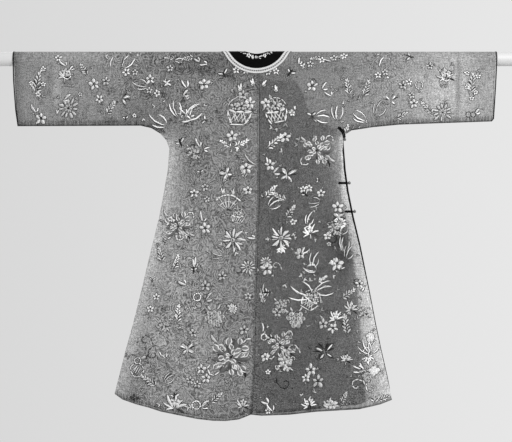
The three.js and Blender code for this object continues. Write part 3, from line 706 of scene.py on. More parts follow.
def gauze_panel(name, outline, under=False, from_seam=True):
    """One cut of gauze: a thin shell on its outline, hung, with its tone and painted light and
    shade, and its edge distance.
    """
    settings = bpy.context.scene.robe_gauze
    places, faces = cut_flat(outline, settings.grid / MM)
    x, run = places.T
    z = QUARTER - np.abs(run)
    from_side = edge_distance(x, z)
    across = x - (between(CENTRE_SEAM, z) if from_seam else 0)
    piece = new_piece(f"{name}_gauze", lifted(x, run, np.zeros_like(x), under), faces,
                      np.stack([across, run], -1), name, silk_gauze())
    # The tone attribute holds painted light and shade with the gauze's own tone
    paint(piece.data, "tone", tone_and_painted_light(x, z))
    from_fold = from_side + FAR * below(z, *LAYERS_BELOW)
    from_edge = np.minimum(from_fold, np.abs(z - between(HEM, x) - 2))
    paint(piece.data, "edge", from_edge * MM)
    rings = np.interp(x, *np.array(MOIRE).T) * (0.25 + 0.75 * smooth(from_side / MOIRE_REACH))
    paint(piece.data, "moire", rings)
    thicken(piece, settings.thickness)
    return piece


def strip(name, node, first, second, section, material, under=False):
    """A closed strip along two flat lines; the section is a loop of (share across, lift)."""
    first, second = np.array(first, float), np.array(second, float)
    shares, lifts = np.array(section, float).T
    flat = first[:, None] + shares[None, :, None] * (second - first)[:, None]
    count, sides = flat.shape[:2]
    x, run = flat.reshape(-1, 2).T
    places = lifted(x, run, np.tile(lifts, count), under)
    along = np.concatenate([[0], np.cumsum(np.hypot(*np.diff((first + second) / 2, axis=0).T))])
    width = np.hypot(*(second - first).T).mean()
    around = np.concatenate([[0], np.cumsum(np.hypot(np.diff(shares) * width, np.diff(lifts)))])
    uv = np.stack([np.repeat(along, sides), np.tile(around, count)], -1)
    faces = []
    for i in range(count - 1):
        for j in range(sides):
            k = (j + 1) % sides
            faces.append((i * sides + j, i * sides + k, (i + 1) * sides + k, (i + 1) * sides + j))
    faces.append(tuple(range(sides))[::-1])
    faces.append(tuple((count - 1) * sides + j for j in range(sides)))
    piece = new_piece(name, places, faces, uv, node, material)
    turn_outwards(piece.data)
    return piece


def turn_outwards(mesh):
    shell = bmesh.new()
    shell.from_mesh(mesh)
    bmesh.ops.recalc_face_normals(shell, faces=shell.faces)
    shell.to_mesh(mesh)
    shell.free()


def flat_section(top_height, count, soft_edge=0.5):
    """Section of a flat band with soft edges, a loop of (share across, lift)."""
    shares = np.linspace(0, 1, count)
    top = [(s, top_height - soft_edge * (s in (0, 1))) for s in shares]
    return top + [(s, TRIM_UNDERSIDE) for s in shares[::-1]]


# Section of a folded binding, from the cloth's underside over its rounded top
BINDING_SECTION = [(0, -0.8), (0, 0.6), (0.15, 1.2), (0.5, 1.4), (0.85, 1.2), (1, 0.6), (1, -0.8)]


def resample(line, step, like=None):
    """Points along a flat line at even steps, corners kept, or as many as along another line."""
    points = []
    for a, b, p, q in zip(line, line[1:], like or line, (like or line)[1:]):
        steps = max(1, round(math.dist(p, q) / step))
        points += [tuple(np.array(a) + (np.array(b) - a) * i / steps) for i in range(steps)]
    return points + [tuple(line[-1])]


def binding_strip(name, node, outer, inner, step):
    """A black satin binding between its outer and its inner line."""
    return strip(name, node, resample(outer, step), resample(inner, step, outer), BINDING_SECTION,
                 worn_satin())


def offset_line(line, distance):
    """A line beside a flat line, to its left."""
    points = np.array(line, float)
    along = np.gradient(points, axis=0)
    along /= np.linalg.norm(along, axis=1, keepdims=True)
    return points + np.stack([-along[:, 1], along[:, 0]], -1) * distance


# A stitched leaf, petal or stroke of a motif: base, direction, size, bend, shade and layer
Petal = namedtuple("Petal", "x y angle length width bend shade layer", defaults=(0, 0, 0))


def polar(radius, angle):
    """Place at an angle in degrees round a centre."""
    return radius * math.cos(math.radians(angle)), radius * math.sin(math.radians(angle))


def whorl(count, base, length, width, start=90, bend=0, shade=0, layer=0, turn=360):
    """Petals that spread from a centre."""
    angles = [start + turn * i / count for i in range(count)]
    return [Petal(*polar(base, a), a, length, width, bend, shade, layer) for a in angles]


def dot(x, y, size, shade=0, layer=0):
    """One short wide stitch."""
    return [Petal(x - size / 2, y, 0, size, size * 0.9, 0, shade, layer)]


def stroke(points, width, shade=0, layer=0):
    """Short stitches along a line."""
    petals = []
    for (x1, y1), (x2, y2) in zip(points, points[1:]):
        angle = math.degrees(math.atan2(y2 - y1, x2 - x1))
        length = 1.15 * math.hypot(x2 - x1, y2 - y1)
        petals.append(Petal(x1, y1, angle, length, width, 0, shade, layer))
    return petals


def round_line(x, y, radius, start, end, count):
    """Points on a part of a circle, its angles in degrees."""
    angles = np.radians(np.linspace(start, end, count + 1))
    return [(x + radius * math.cos(a), y + radius * math.sin(a)) for a in angles]


def moved(petals, x, y, size, turn=0):
    """A motif inside another one."""
    c, s = math.cos(math.radians(turn)), math.sin(math.radians(turn))
    return [
        p._replace(x=x + size * (c * p.x - s * p.y), y=y + size * (s * p.x + c * p.y),
                   angle=p.angle + turn, length=p.length * size, width=p.width * size)
        for p in petals
    ]


def blossom():
    hearts = whorl(5, 0.3, 0.42, 0.1, start=126, shade=-0.5, layer=1)
    return whorl(5, 0.18, 0.78, 0.56) + hearts + dot(0, 0, 0.32, -0.95, 1)


def chrysanthemum():
    inner = whorl(8, 0.1, 0.34, 0.15, start=80, shade=-0.2, layer=1)
    return whorl(11, 0.36, 0.66, 0.27) + inner + dot(0, 0, 0.2, -0.8, 1)


def outlined(x, y, angle, length, width, shade, layer=0):
    """A darker petal between two light edges that meet at its tip."""
    bend = 0.44 * width / length
    edges = [Petal(x, y, angle, length, 0.08, side * bend, 0.1, layer + 1) for side in (1, -1)]
    return [Petal(x, y, angle, length, width, 0, shade, layer), *edges]


def peony():
    petals = whorl(9, 0.1, 0.8, 0.36, start=70, shade=-0.55)
    for ring, count, size in ((0.6, 11, 0.38), (0.34, 8, 0.34), (0.1, 5, 0.28)):
        for i in range(count):
            angle = 360 / count * i + 12 * math.sin(2.4 * i)
            x, y = polar(ring * (1 + 0.16 * math.sin(1.7 * i + 8 * ring)), angle)
            petals += outlined(x, y, angle + 34 * math.cos(3 * i), size, size * 0.72, -0.4, 1)
    petals += whorl(6, 0.36, 0.3, 0.05, start=24, shade=-0.95, layer=3) + dot(0, 0, 0.14, -0.95, 3)
    petals += stroke(round_line(0.86, 0.62, 0.26, -40, 170, 4), 0.09, 0.1)
    petals += stroke(round_line(-0.84, -0.6, 0.28, 120, 330, 4), 0.09, 0.1)
    leaves = [Petal(-0.62, 0.66, 132, 0.5, 0.16, 0.1), Petal(0.7, -0.5, -38, 0.5, 0.16, -0.1)]
    return petals + leaves + [Petal(0.6, -0.66, -70, 0.44, 0.12, 0.1, -0.95)]


def star():
    leaves = whorl(8, 0.16, 0.86, 0.2, start=84, bend=0.08)
    leaves += whorl(8, 0.3, 0.5, 0.16, start=62, shade=-0.25, bend=-0.08)
    leaves += whorl(4, 0.2, 0.6, 0.1, start=100, shade=-0.95, layer=1)
    return leaves + dot(0, 0, 0.36, -0.25, 1) + dot(0, 0, 0.18, -0.95, 2)


def leaf():
    return [Petal(0, -1, 94, 1.9, 0.46, 0.1), Petal(0.05, -0.9, 52, 1.15, 0.34, -0.12),
            Petal(-0.1, -0.8, 96, 1.5, 0.12, 0.16, -0.95, 1)]


def bud():
    sepals = [Petal(0, -1, 62, 1, 0.3, -0.1, -0.3), Petal(0, -1, 118, 1, 0.3, 0.1, -0.3)]
    return [Petal(0, -0.7, 82, 1.6, 0.5), Petal(0, -0.7, 104, 1.5, 0.4, 0.06, -0.1)] + sepals


def ring():
    return stroke(round_line(0, 0, 0.8, 0, 360, 9), 0.3)


def sprig():
    petals = [Petal(0, -1, 90, 1.95, 0.07, 0.1, -0.25)]
    for i, y in enumerate((-0.7, -0.4, -0.1, 0.2, 0.5)):
        reach = 0.56 - 0.05 * i
        petals.append(Petal(0.04, y, 42 + 4 * i, reach, 0.17, 0.1))
        petals.append(Petal(-0.02, y + 0.12, 136 - 4 * i, reach, 0.17, -0.1))
    return petals + [
        Petal(0.02, 0.66, 88, 0.42, 0.16), Petal(0.1, -0.5, 60, 0.5, 0.1, 0.1, -0.95, 1),
        Petal(-0.1, -0.1, 120, 0.5, 0.1, -0.1, -0.95, 1),
    ]


def reeds():
    blades = [(0.12, 96, 2.0, 0.17), (-0.02, 112, 1.7, 0.15), (0.2, 76, 1.55, 0.14)]
    shadow = [Petal(0.06, -0.98, 99, 1.7, 0.06, 0.16, -0.95, 1)]
    return shadow + [Petal(x, -1, angle, length, width, 0.14 if angle > 90 else -0.16)
                     for x, angle, length, width in blades]


def plant():
    leaves = [
        (0, 90, 1.0), (0.06, 55, 0.95), (-0.06, 125, 0.95), (0.08, 22, 0.8), (-0.08, 158, 0.8),
    ]
    petals = [Petal(x, -0.35, angle, length, 0.2, 0.08) for x, angle, length in leaves]
    petals.append(Petal(0.05, -0.4, -20, 0.7, 0.18, 0.1, -0.95))
    petals.append(Petal(-0.05, -0.4, 200, 0.7, 0.18, -0.1))
    return petals + moved(blossom(), 0, 0.1, 0.38) + [Petal(0, -0.95, 90, 0.6, 0.12, 0, -0.2)]


def insect():
    wings = [Petal(0.05, 0, 35, 0.95, 0.36, 0, 0.85), Petal(-0.05, 0, 150, 0.95, 0.36, 0, 0.85)]
    edges = [Petal(0.05, 0.14, 40, 1.0, 0.14, 0.1), Petal(-0.05, 0.14, 145, 1.0, 0.14, -0.1)]
    legs = [Petal(0, -0.1, -50, 0.8, 0.12), Petal(0, -0.1, 230, 0.8, 0.12)]
    return [Petal(0, -0.8, 90, 1.6, 0.34, 0, 0, 1)] + wings + edges + legs


def butterfly():
    petals = [Petal(0, -0.55, 90, 1.0, 0.16, 0, 0.1, 1)]
    half = [
        (0.04, 0.02, 52, 1.1, 0.5, 0.08), (0.04, -0.05, 128, 0.85, 0.42),
        (0.2, 0.1, 50, 0.7, 0.2, 0, 0.85, 1), (0.12, -0.16, 128, 0.55, 0.18, 0, 0.85, 1),
        (0.02, 0.4, 24, 0.6, 0.06, -0.1), (0.3, 0.0, 72, 0.75, 0.13, 0.1, -0.95, 2),
        (0.1, 0.3, 30, 0.7, 0.1, 0.1, -0.95, 2), (0.26, -0.5, 110, 0.4, 0.1, 0, -0.95, 2),
    ]
    for side in (1, -1):
        for p in (Petal(*row) for row in half):
            petals.append(p._replace(x=p.x * side, angle=90 - p.angle * side, bend=p.bend * side))
    return petals


def basket():
    petals = []
    for i in range(5):
        x = -0.5 + 0.22 * i
        petals += [Petal(x, -0.95, 66, 0.85, 0.07), Petal(x + 0.14, -0.95, 114, 0.85, 0.07)]
    petals += stroke([(-0.72, -0.18), (-0.25, -0.27), (0.25, -0.27), (0.72, -0.18)], 0.15, 0.25, 1)
    petals += stroke([(-0.72, -0.2), (-0.66, -0.6), (-0.45, -0.98)], 0.1, 0.2)
    petals += stroke([(0.72, -0.2), (0.66, -0.6), (0.45, -0.98), (-0.45, -0.98)], 0.1, 0.2)
    petals += stroke(round_line(0, -0.1, 0.78, 12, 168, 8), 0.08)
    for x, y, size in ((-0.36, 0.02, 0.28), (0.06, 0.12, 0.34), (0.44, 0.0, 0.26)):
        petals += moved(blossom(), x, y, size)
    return petals + moved(sprig(), -0.1, 0.62, 0.34, 15) + moved(leaf(), 0.34, 0.5, 0.24, -30)


def fan():
    ribs = whorl(11, 0.12, 1.3, 0.07, start=40, turn=110)
    rim = stroke(round_line(0, 0, 1.42, 38, 140, 9), 0.16, 0.2)
    inner = stroke(round_line(0, 0, 0.85, 38, 140, 7), 0.1, 0.1, 1)
    return moved(ribs + rim + inner, 0, -0.8, 1)


def knot():
    petals = []
    for y, count in ((0.42, 3), (0.06, 4), (-0.3, 3), (-0.62, 2)):
        for i in range(count):
            x = (i - (count - 1) / 2) * 0.42
            petals += outlined(x, y - 0.2, 90, 0.46, 0.42, -0.15 - 0.1 * (i % 2))
            petals += dot(x, y, 0.1, -0.95, 2)
    return petals + [Petal(-0.3, 0.7, 120, 0.5, 0.18, 0.1), Petal(0.2, 0.7, 50, 0.5, 0.18, -0.1)]


def scroll():
    reach = [0.9 * (1 - t / 11) for t in range(10)]
    points = [(r * math.cos(0.62 * t), r * math.sin(0.62 * t)) for t, r in enumerate(reach)]
    return stroke(points, 0.18) + [Petal(0.9, 0, -80, 0.7, 0.2, 0.1)]


def fruit():
    lattice = [Petal(-0.5 + 0.25 * i, -0.55, 68, 1.1, 0.1, 0, 0.05, 1) for i in range(4)]
    return whorl(7, 0, 0.86, 0.62, start=70) + lattice + [Petal(0, 0.7, 60, 0.6, 0.26, 0, -0.3)]


def gourd():
    body = stroke(round_line(0.1, -0.35, 0.6, 60, 420, 10), 0.12)
    neck = stroke(round_line(-0.1, 0.42, 0.3, -60, 250, 6), 0.12)
    hatch = [Petal(-0.4 + 0.2 * i, -0.75, 70, 0.85, 0.07, 0, 0.2) for i in range(5)]
    hook = stroke(round_line(-0.55, 0.4, 0.42, 20, 200, 5), 0.16, -0.6)
    return body + neck + hatch + hook + [Petal(0.1, 0.7, 40, 0.6, 0.24)]


MOTIF_SHAPES = {
    shape.__name__: shape
    for shape in (basket, blossom, bud, butterfly, chrysanthemum, fan, fruit, gourd, insect, knot,
                  leaf, peony, plant, reeds, ring, scroll, sprig, star)
}


def inside(points, outline):
    """Which flat points lie inside an outline."""
    x, y = points.T
    found = np.zeros(len(points), bool)
    for (x1, y1), (x2, y2) in zip(outline, outline[1:] + outline[:1]):
        if y1 != y2:
            found ^= ((y1 > y) != (y2 > y)) & (x < (x2 - x1) * (y - y1) / (y2 - y1) + x1)
    return found


def loose_leaves(rng, count):
    """Threes of small faint leaves around a motif."""
    petals = []
    for around, turn, reach in zip(rng.uniform(0, 360, count), rng.uniform(0, 360, count),
                                   rng.uniform(0.95, 1.3, count)):
        place = polar(reach, around)
        petals += [Petal(*place, turn, 0.34, 0.13, 0.1, -0.4),
                   Petal(*place, turn + 68, 0.28, 0.11, -0.1, -0.3),
                   Petal(*place, turn + 150, 0.24, 0.05, 0.1, -0.5)]
    return petals


# Columns of a stitched petal's row: face, place, direction, size, bend, shade and layer
FACE, X, Z, COS, SIN, LENGTH, WIDTH, BEND, SHADE, LAYER = range(10)


def stitch(motifs):
    """Rows of petals from placed motifs, each as uneven as hand work."""
    rng = np.random.default_rng(SEED)
    rows = []
    for kind, face, x, z, radius, turn, shade in motifs:
        turn += rng.uniform(-7, 7)
        size = radius * rng.uniform(0.92, 1.08)
        shape = MOTIF_SHAPES[kind]() + loose_leaves(rng, int(radius / 13))
        for petal in moved(shape, 0, 0, size, turn):
            angle = math.radians(petal.angle + rng.uniform(-9, 9))
            stronger = 1 if shade > 0.5 or petal.shade > 0 else 0.05
            value = min(1, max(0.01, shade + petal.shade * stronger)) * rng.uniform(0.9, 1.05)
            length = petal.length * rng.uniform(0.72, 1.14)
            width = petal.width * rng.uniform(0.72, 1.2)
            rows.append((face, x + petal.x, z + petal.y, math.cos(angle), math.sin(angle), length,
                         width, petal.bend, value, petal.layer))
    return np.array(rows)


def panel_motifs():
    """The back's motifs, and like ones on the front, mirrored and a little lower."""
    back = sorted(
        (kind, BACK, *Place(*place), shade)
        for kind, shade, places in BACK_MOTIFS for place in places
    )
    front = [
        (kind, FRONT, -x, min(z, FRONT_TOP) - FRONT_DROP, radius, FRONT_TURN - turn, shade)
        for kind, _, x, z, radius, turn, shade in back
    ]
    return back + front


def neck_motifs():
    """Small flowers and leaves in a ring on the neck band."""
    kinds = ["blossom", "leaf", "plant", "bud", "blossom", "sprig", "leaf"]
    places = neck_arc(NECK_FLOWERS, CLOSURE_ANGLE + 12, CLOSURE_ANGLE + 348, 12)
    motifs = []
    for i, (x, run) in enumerate(places):
        face = BACK if run > 0 else FRONT
        motifs.append((kinds[i % 7], face, x, QUARTER - abs(run), 7 + i % 3 * 1.5, 37 * i, WHITE))
    return motifs


def outlines(petals, border):
    """A flat dark stitch under each light petal, wider all round."""
    under = petals[(petals[:, LAYER] == 0) & (petals[:, SHADE] > 0.3)].copy()
    under[:, [X, Z]] -= under[:, [COS, SIN]] * border
    under[:, [LENGTH, WIDTH]] += 2 * border
    under[:, [SHADE, LAYER]] = OUTLINE, -1
    return under


def within(petals, outline):
    """The petals that lie wholly on a panel."""
    face, x, z, cos, sin, length, width = petals.T[:BEND]
    reach = width / 2 + PANEL_MARGIN
    corners = [
        (x + t * length * cos - side * reach * sin,
         face * (QUARTER - z - t * length * sin - side * reach * cos))
        for t in (0, 0.5, 1) for side in (-1, 1)
    ]
    return petals[np.all([inside(np.stack(corner, -1), outline) for corner in corners], axis=0)]


# Places on a stitched petal: share along it, share of its half width, and share of its height.
# Three rows of three lie between its base and its tip
STATIONS = [(0, 0, 0), (1, 0, 0)] + [
    station
    for t, part in ((0.22, 0.7), (0.55, 1), (0.84, 0.72))
    for station in ((t, part, 0), (t, 0, 1), (t, -part, 0))
]
PETAL_FACES = [(0, 3, 2), (0, 4, 3), (2, 3, 6, 5), (3, 4, 7, 6), (5, 6, 9, 8), (6, 7, 10, 9),
               (8, 9, 1), (9, 10, 1), (0, 2, 4), (2, 5, 7, 4), (5, 8, 10, 7), (8, 1, 10)]


def embroidery(name, petals, base=SILK_LIFT, under=False):
    """Raised satin stitches on one panel, as one mesh of small closed shells."""
    settings = bpy.context.scene.robe_embroidery
    petals[:, WIDTH] = np.maximum(petals[:, WIDTH], settings.stitch_width / MM)
    petals = np.concatenate([outlines(petals, settings.outline / MM), petals])
    face, x, z, cos, sin, length, width, bend, shade, layer = petals.T[:, :, None]
    t, part, ridge = np.array(STATIONS, float).T[:, None]
    along, aside = t * length, part * width / 2
    across = aside * face + bend * length * 4 * t * (1 - t)
    run = face * (QUARTER - (z + along * sin + across * cos))
    outline = layer < 0
    rise = np.where(outline, 0.06, np.minimum(settings.relief / MM, 0.3 * width))
    lift = base + layer * np.where(outline, 0.12, 0.7 * settings.relief / MM) + ridge * rise
    places = lifted((x + along * cos - across * sin).ravel(), run.ravel(), lift.ravel(), under)
    faces = [tuple(len(STATIONS) * i + k for k in corners)
             for i in range(len(petals)) for corners in PETAL_FACES]
    uv = np.stack([along.ravel(), aside.ravel()], -1)
    piece = new_piece(f"{name}_embroidery", places, faces, uv, None, embroidery_silk())
    worked = np.where(outline, 1, 1.12 - 0.5 * ridge * smooth((width - 5) / 6))
    paint(piece.data, "shade", (shade * worked).ravel())
    return piece


class Value:
    """A shader socket that is added, taken away, multiplied and divided as a number is."""

    def __init__(self, tree, socket=None):
        self.tree = tree
        self.socket = socket

    def node(self, kind, settings=None, inputs=None, output=0):
        """A new node's output: its settings come first, then its sockets' values or links."""
        made = self.tree.nodes.new(kind)
        for name, value in (settings or {}).items():
            setattr(made, name, value)
        for name, value in (inputs or {}).items():
            if isinstance(value, Value):
                self.tree.links.new(value.socket, made.inputs[name])
            else:
                made.inputs[name].default_value = value
        return Value(self.tree, made.outputs[output])

    def maths(self, operation, *values):
        inputs = dict(enumerate((self, *values)))
        return self.node("ShaderNodeMath", {"operation": operation}, inputs)

    def __add__(self, other):
        return self.maths("ADD", other)

    def __sub__(self, other):
        return self.maths("SUBTRACT", other)

    def __rsub__(self, other):
        return (self * -1).maths("ADD", other)

    def __mul__(self, other):
        return self.maths("MULTIPLY", other)

    def __truediv__(self, other):
        return self.maths("DIVIDE", other)

    __radd__ = __add__
    __rmul__ = __mul__


def new_material(name, **constants):
    """A material, a Value of its tree, and its surface shader with these constants."""
    material = bpy.data.materials.new(name)
    material.use_nodes = True
    tree = material.node_tree
    surface = tree.nodes["Principled BSDF"]
    for socket, value in constants.items():
        surface.inputs[socket.replace("_", " ")].default_value = value
    return material, Value(tree), surface


def feed(surface, **links):
    """Links values to a shader's sockets."""
    for socket, value in links.items():
        value.tree.links.new(value.socket, surface.inputs[socket.replace("_", " ")])


def grey(value):
    """A colour that is as light as the value."""
    return value.node("ShaderNodeCombineColor", {}, {"Red": value, "Green": value, "Blue": value})


def bump(height, distance, strength):
    inputs = {"Height": height, "Distance": distance, "Strength": strength}
    return height.node("ShaderNodeBump", {}, inputs)


def noise(place, scale, detail=2.0, roughness=0.5):
    inputs = {"Vector": place, "Scale": scale, "Detail": detail, "Roughness": roughness}
    return place.node("ShaderNodeTexNoise", {}, inputs)


def part_of(vector, axis):
    """The x or y of a vector."""
    return vector.node("ShaderNodeSeparateXYZ", {}, {0: vector}, "XY".index(axis))


def attribute(start, name):
    return start.node("ShaderNodeAttribute", {"attribute_name": name}, {}, "Fac")


def cloth_place(start):
    """Place on the flat cloth in metres, as a vector and as its two numbers."""
    uv = start.node("ShaderNodeUVMap", {"uv_map": "cloth"})
    return uv, part_of(uv, "X"), part_of(uv, "Y")


def stretched(vector, x, y, z=1.0):
    return vector.node("ShaderNodeMapping", {}, {"Vector": vector, "Scale": (x, y, z)})


def wave(value, pitch):
    """A sine from 0 to 1 of that pitch."""
    return (value * (2 * math.pi / pitch)).maths("SINE") * 0.5 + 0.5


def size_of(value):
    return value.maths("ABSOLUTE")


def near(distance, reach):
    """1 on a line, falling to 0 at that reach from it."""
    return 1 - (distance / reach).maths("MINIMUM", 1.0)


def object_place(start):
    return start.node("ShaderNodeTexCoord", {}, {}, "Object")


def stored(build):
    """A material named as its function, built the first time that it is asked for."""

    def fetch():
        return bpy.data.materials.get(build.__name__) or build(build.__name__)

    return fetch


# The gauze's lines in metres: how far they reach, where the selvedges lie beside the seam, how
# far down the seam widens into a line of painted shade along its valley, and the middle and half
# width of the part on the rod
TURNED_EDGE, FRINGE, TOP_LINE = 0.007, 0.024, 0.009
SELVEDGE_OFF, SELVEDGE, VALLEY_SHADE = 0.0043, 0.0018, 0.0075
SEAM_WIDENS, SEAM_WIDENING = 0.36, 0.06
ROD_MIDDLE, ROD_REACH = 0.046, 0.04


@stored
def silk_gauze(name):
    settings = bpy.context.scene.robe_gauze
    material, start, surface = new_material(name, Roughness=0.62, Sheen_Weight=0.25,
                                            Sheen_Roughness=0.4, Specular_IOR_Level=0.25)
    uv, across, along = cloth_place(start)
    place = object_place(start)
    from_seam, from_top = size_of(across), size_of(along)
    threads = wave(across, settings.thread_pitch) + wave(along, settings.thread_pitch)
    slubs = noise(stretched(uv, 420, 30), 1.0) + noise(stretched(uv, 30, 420), 1.0)
    grain = noise(place, 210.0, 2.0, 0.7)
    broad = noise(place, 5.0)

    # Two layers of weave cross into rings of light and dark
    moire = attribute(start, "moire")
    rings = wave(noise(stretched(place, 1.0, 0.2), 15.0), 0.062) - 0.5
    rings = rings * moire * (noise(place, 45.0) * 2.0 - 0.1)
    # The tone attribute carries painted light and shade of creases, layers and sides as well as the
    # gauze's tone
    tone = attribute(start, "tone") * (1 + (grain - 0.5) * (2.2 + moire) + (slubs - 1.0) * 1.5
                                       + (broad - 0.5) * 0.4 + rings * 1.35)
    tone = tone.maths("MAXIMUM", 0.12)

    # Turned edges, the centre seam with its selvedges, and the fold on the rod look darker; lower
    # down, the seam's dark line is painted shade of its valley
    edge = attribute(start, "edge")
    edge_line = near(edge, TURNED_EDGE)
    lower = (along - SEAM_WIDENS) / SEAM_WIDENING
    lower = lower.maths("MAXIMUM", 0.0).maths("MINIMUM", 1.0)
    selvedge_and_valley_shade = near(size_of(from_seam - SELVEDGE_OFF), SELVEDGE) * (1 - lower)
    # Lower down, a painted shade along the seam's valley
    selvedge_and_valley_shade = selvedge_and_valley_shade + near(from_seam, VALLEY_SHADE) * lower
    ticks = (noise(stretched(uv, 170, 18), 1.0) - 0.4).maths("MAXIMUM", 0.0)
    fringe = near(edge, FRINGE) * ticks * 12
    shade = tone * (1 - edge_line * 0.85) * (1 - selvedge_and_valley_shade * 0.75)
    shade = shade * (1 - near(from_top, TOP_LINE) * 0.6) * settings.tone
    shade = shade * (1 - fringe.maths("MINIMUM", 0.6))

    on_rod = near(size_of(from_top - ROD_MIDDLE), ROD_REACH)
    cover = settings.cover + (grain - 0.5) * 0.8 + edge_line * 0.4 + selvedge_and_valley_shade * 0.3 + on_rod * 0.3
    height = threads * 0.5 + slubs * 0.8 + grain * 1.2
    feed(surface, Base_Color=grey(shade), Alpha=cover.maths("MINIMUM", 1.0),
         Normal=bump(height, 0.0004, 0.8))
    return material


@stored
def embroidery_silk(name):
    settings = bpy.context.scene.robe_embroidery
    material, start, surface = new_material(name, Roughness=0.42, Sheen_Weight=0.04,
                                            Specular_IOR_Level=0.12)
    _, along, aside = cloth_place(start)
    thread = wave(along + aside * 0.35, settings.thread_pitch)
    uneven = noise(object_place(start), 420.0)
    worked = 0.9 + thread * 0.16 + (uneven - 0.5) * 1.3
    shade = attribute(start, "shade") * settings.white * worked
    feed(surface, Base_Color=grey(shade + 0.008), Normal=bump(thread + uneven * 0.5, 0.00025, 0.7))
    return material


@stored
def worn_satin(name):
    settings = bpy.context.scene.robe_trim
    material, start, surface = new_material(name, Roughness=0.38, Specular_IOR_Level=0.015)
    _, along, aside = cloth_place(start)
    ribs = wave(along, 0.0007) + wave(aside, 0.0009) * 0.4
    worn = noise(object_place(start), 60.0, 4.0, 0.6)
    tone = (0.6 + worn * 0.8 + (ribs - 0.7) * 0.25) * settings.satin
    feed(surface, Base_Color=grey(tone), Roughness=0.3 + worn * 0.2,
         Normal=bump(ribs + worn, 0.0002, 0.7))
    return material


# The braid's dotted groove in metres: its middle, half its width, its dots and where piping starts
GROOVE_MIDDLE, GROOVE, DOT, PIPING = 0.0105, 0.0045, 0.0024, 0.0092


@stored
def woven_braid(name):
    settings = bpy.context.scene.robe_trim
    material, start, surface = new_material(name, Roughness=0.6, Sheen_Weight=0.3)
    _, along, aside = cloth_place(start)
    weave = wave(along + aside, 0.0016) + wave(along - aside, 0.0016)
    from_middle = size_of(aside - GROOVE_MIDDLE)
    dots = from_middle.maths("LESS_THAN", DOT) * wave(along, 0.0082).maths("GREATER_THAN", 0.3)
    piping = from_middle.maths("GREATER_THAN", PIPING)
    tone = (0.86 + (weave - 1.0) * 0.12) * settings.braid * (1 - near(from_middle, GROOVE) * 0.35)
    tone = tone * (1 - dots * 0.9) * (1 - piping * 0.93)
    feed(surface, Base_Color=grey(tone), Normal=bump(weave, 0.0003, 0.8))
    return material


@stored
def worn_button_metal(name):
    settings = bpy.context.scene.robe_trim
    material, start, surface = new_material(name, Metallic=0.9)
    worn = noise(object_place(start), 900.0, 4.0, 0.6)
    tone = (0.55 + worn * 0.7) * settings.metal
    feed(surface, Base_Color=grey(tone), Roughness=0.22 + worn * 0.3,
         Normal=bump(worn, 0.0001, 0.6))
    return material


@stored
def streaked_paint(name):
    settings = bpy.context.scene.robe_trim
    material, start, surface = new_material(name, Roughness=0.45, Specular_IOR_Level=0.4)
    place = object_place(start)
    streaks = noise(stretched(place, 3.0, 60.0, 60.0), 1.0, 3.0)
    peel = noise(place, 260.0)
    # Painted shade: the rod darkens towards +X, against the key light from that side
    right_end_shade = part_of(place, "X") * -0.11
    tone = settings.rod * (0.93 + right_end_shade + streaks * 0.1 + (peel - 0.5) * 0.04)
    feed(surface, Base_Color=grey(tone), Roughness=0.38 + streaks * 0.15,
         Normal=bump(peel + streaks, 0.0002, 0.4))
    return material


@stored
def studio_floor(name):
    material, start, surface = new_material(name, Roughness=0.9, Specular_IOR_Level=0.1)
    cloud = noise(object_place(start), 1.2, 3.0)
    feed(surface, Base_Color=grey(0.62 + (cloud - 0.5) * 0.04))
    return material


class GauzeSettings(bpy.types.PropertyGroup):
    tone: bpy.props.FloatProperty(
        name="Tone", description="Lightness of the silk",
        default=0.2, min=0, max=1)
    cover: bpy.props.FloatProperty(
        name="Cover", description="Share of each side of the gauze that the threads fill",
        default=0.48, min=0, max=1, subtype="FACTOR")
    thickness: bpy.props.FloatProperty(
        name="Thickness", description="Thickness of the gauze",
        default=0.0005, unit="LENGTH")
    grid: bpy.props.FloatProperty(
        name="Grid", description="Size of the mesh's squares",
        default=0.009, unit="LENGTH")
    thread_pitch: bpy.props.FloatProperty(
        name="Thread pitch", description="Way from one thread to the next",
        default=0.0011, unit="LENGTH")


class EmbroiderySettings(bpy.types.PropertyGroup):
    white: bpy.props.FloatProperty(
        name="White", description="Lightness of the lightest silk",
        default=0.95, min=0, max=1)
    outline: bpy.props.FloatProperty(
        name="Outline", description="Width of the dark stitch round a light petal",
        default=0.002, unit="LENGTH")
    relief: bpy.props.FloatProperty(
        name="Relief", description="Height of the satin stitch",
        default=0.0009, unit="LENGTH")
    stitch_width: bpy.props.FloatProperty(
        name="Narrowest stitch", description="Least width of a stroke",
        default=0.002, unit="LENGTH")
    thread_pitch: bpy.props.FloatProperty(
        name="Thread pitch", description="Way from one stitch to the next",
        default=0.0009, unit="LENGTH")


class TrimSettings(bpy.types.PropertyGroup):
    satin: bpy.props.FloatProperty(
        name="Satin", description="Lightness of the black satin",
        default=0.003, min=0, max=1)
    braid: bpy.props.FloatProperty(
        name="Braid", description="Lightness of the neck braid",
        default=0.75, min=0, max=1)
    metal: bpy.props.FloatProperty(
        name="Button metal", description="Lightness of the ball buttons",
        default=0.16, min=0, max=1)
    rod: bpy.props.FloatProperty(
        name="Rod", description="Lightness of the rod's paint",
        default=0.62, min=0, max=1)


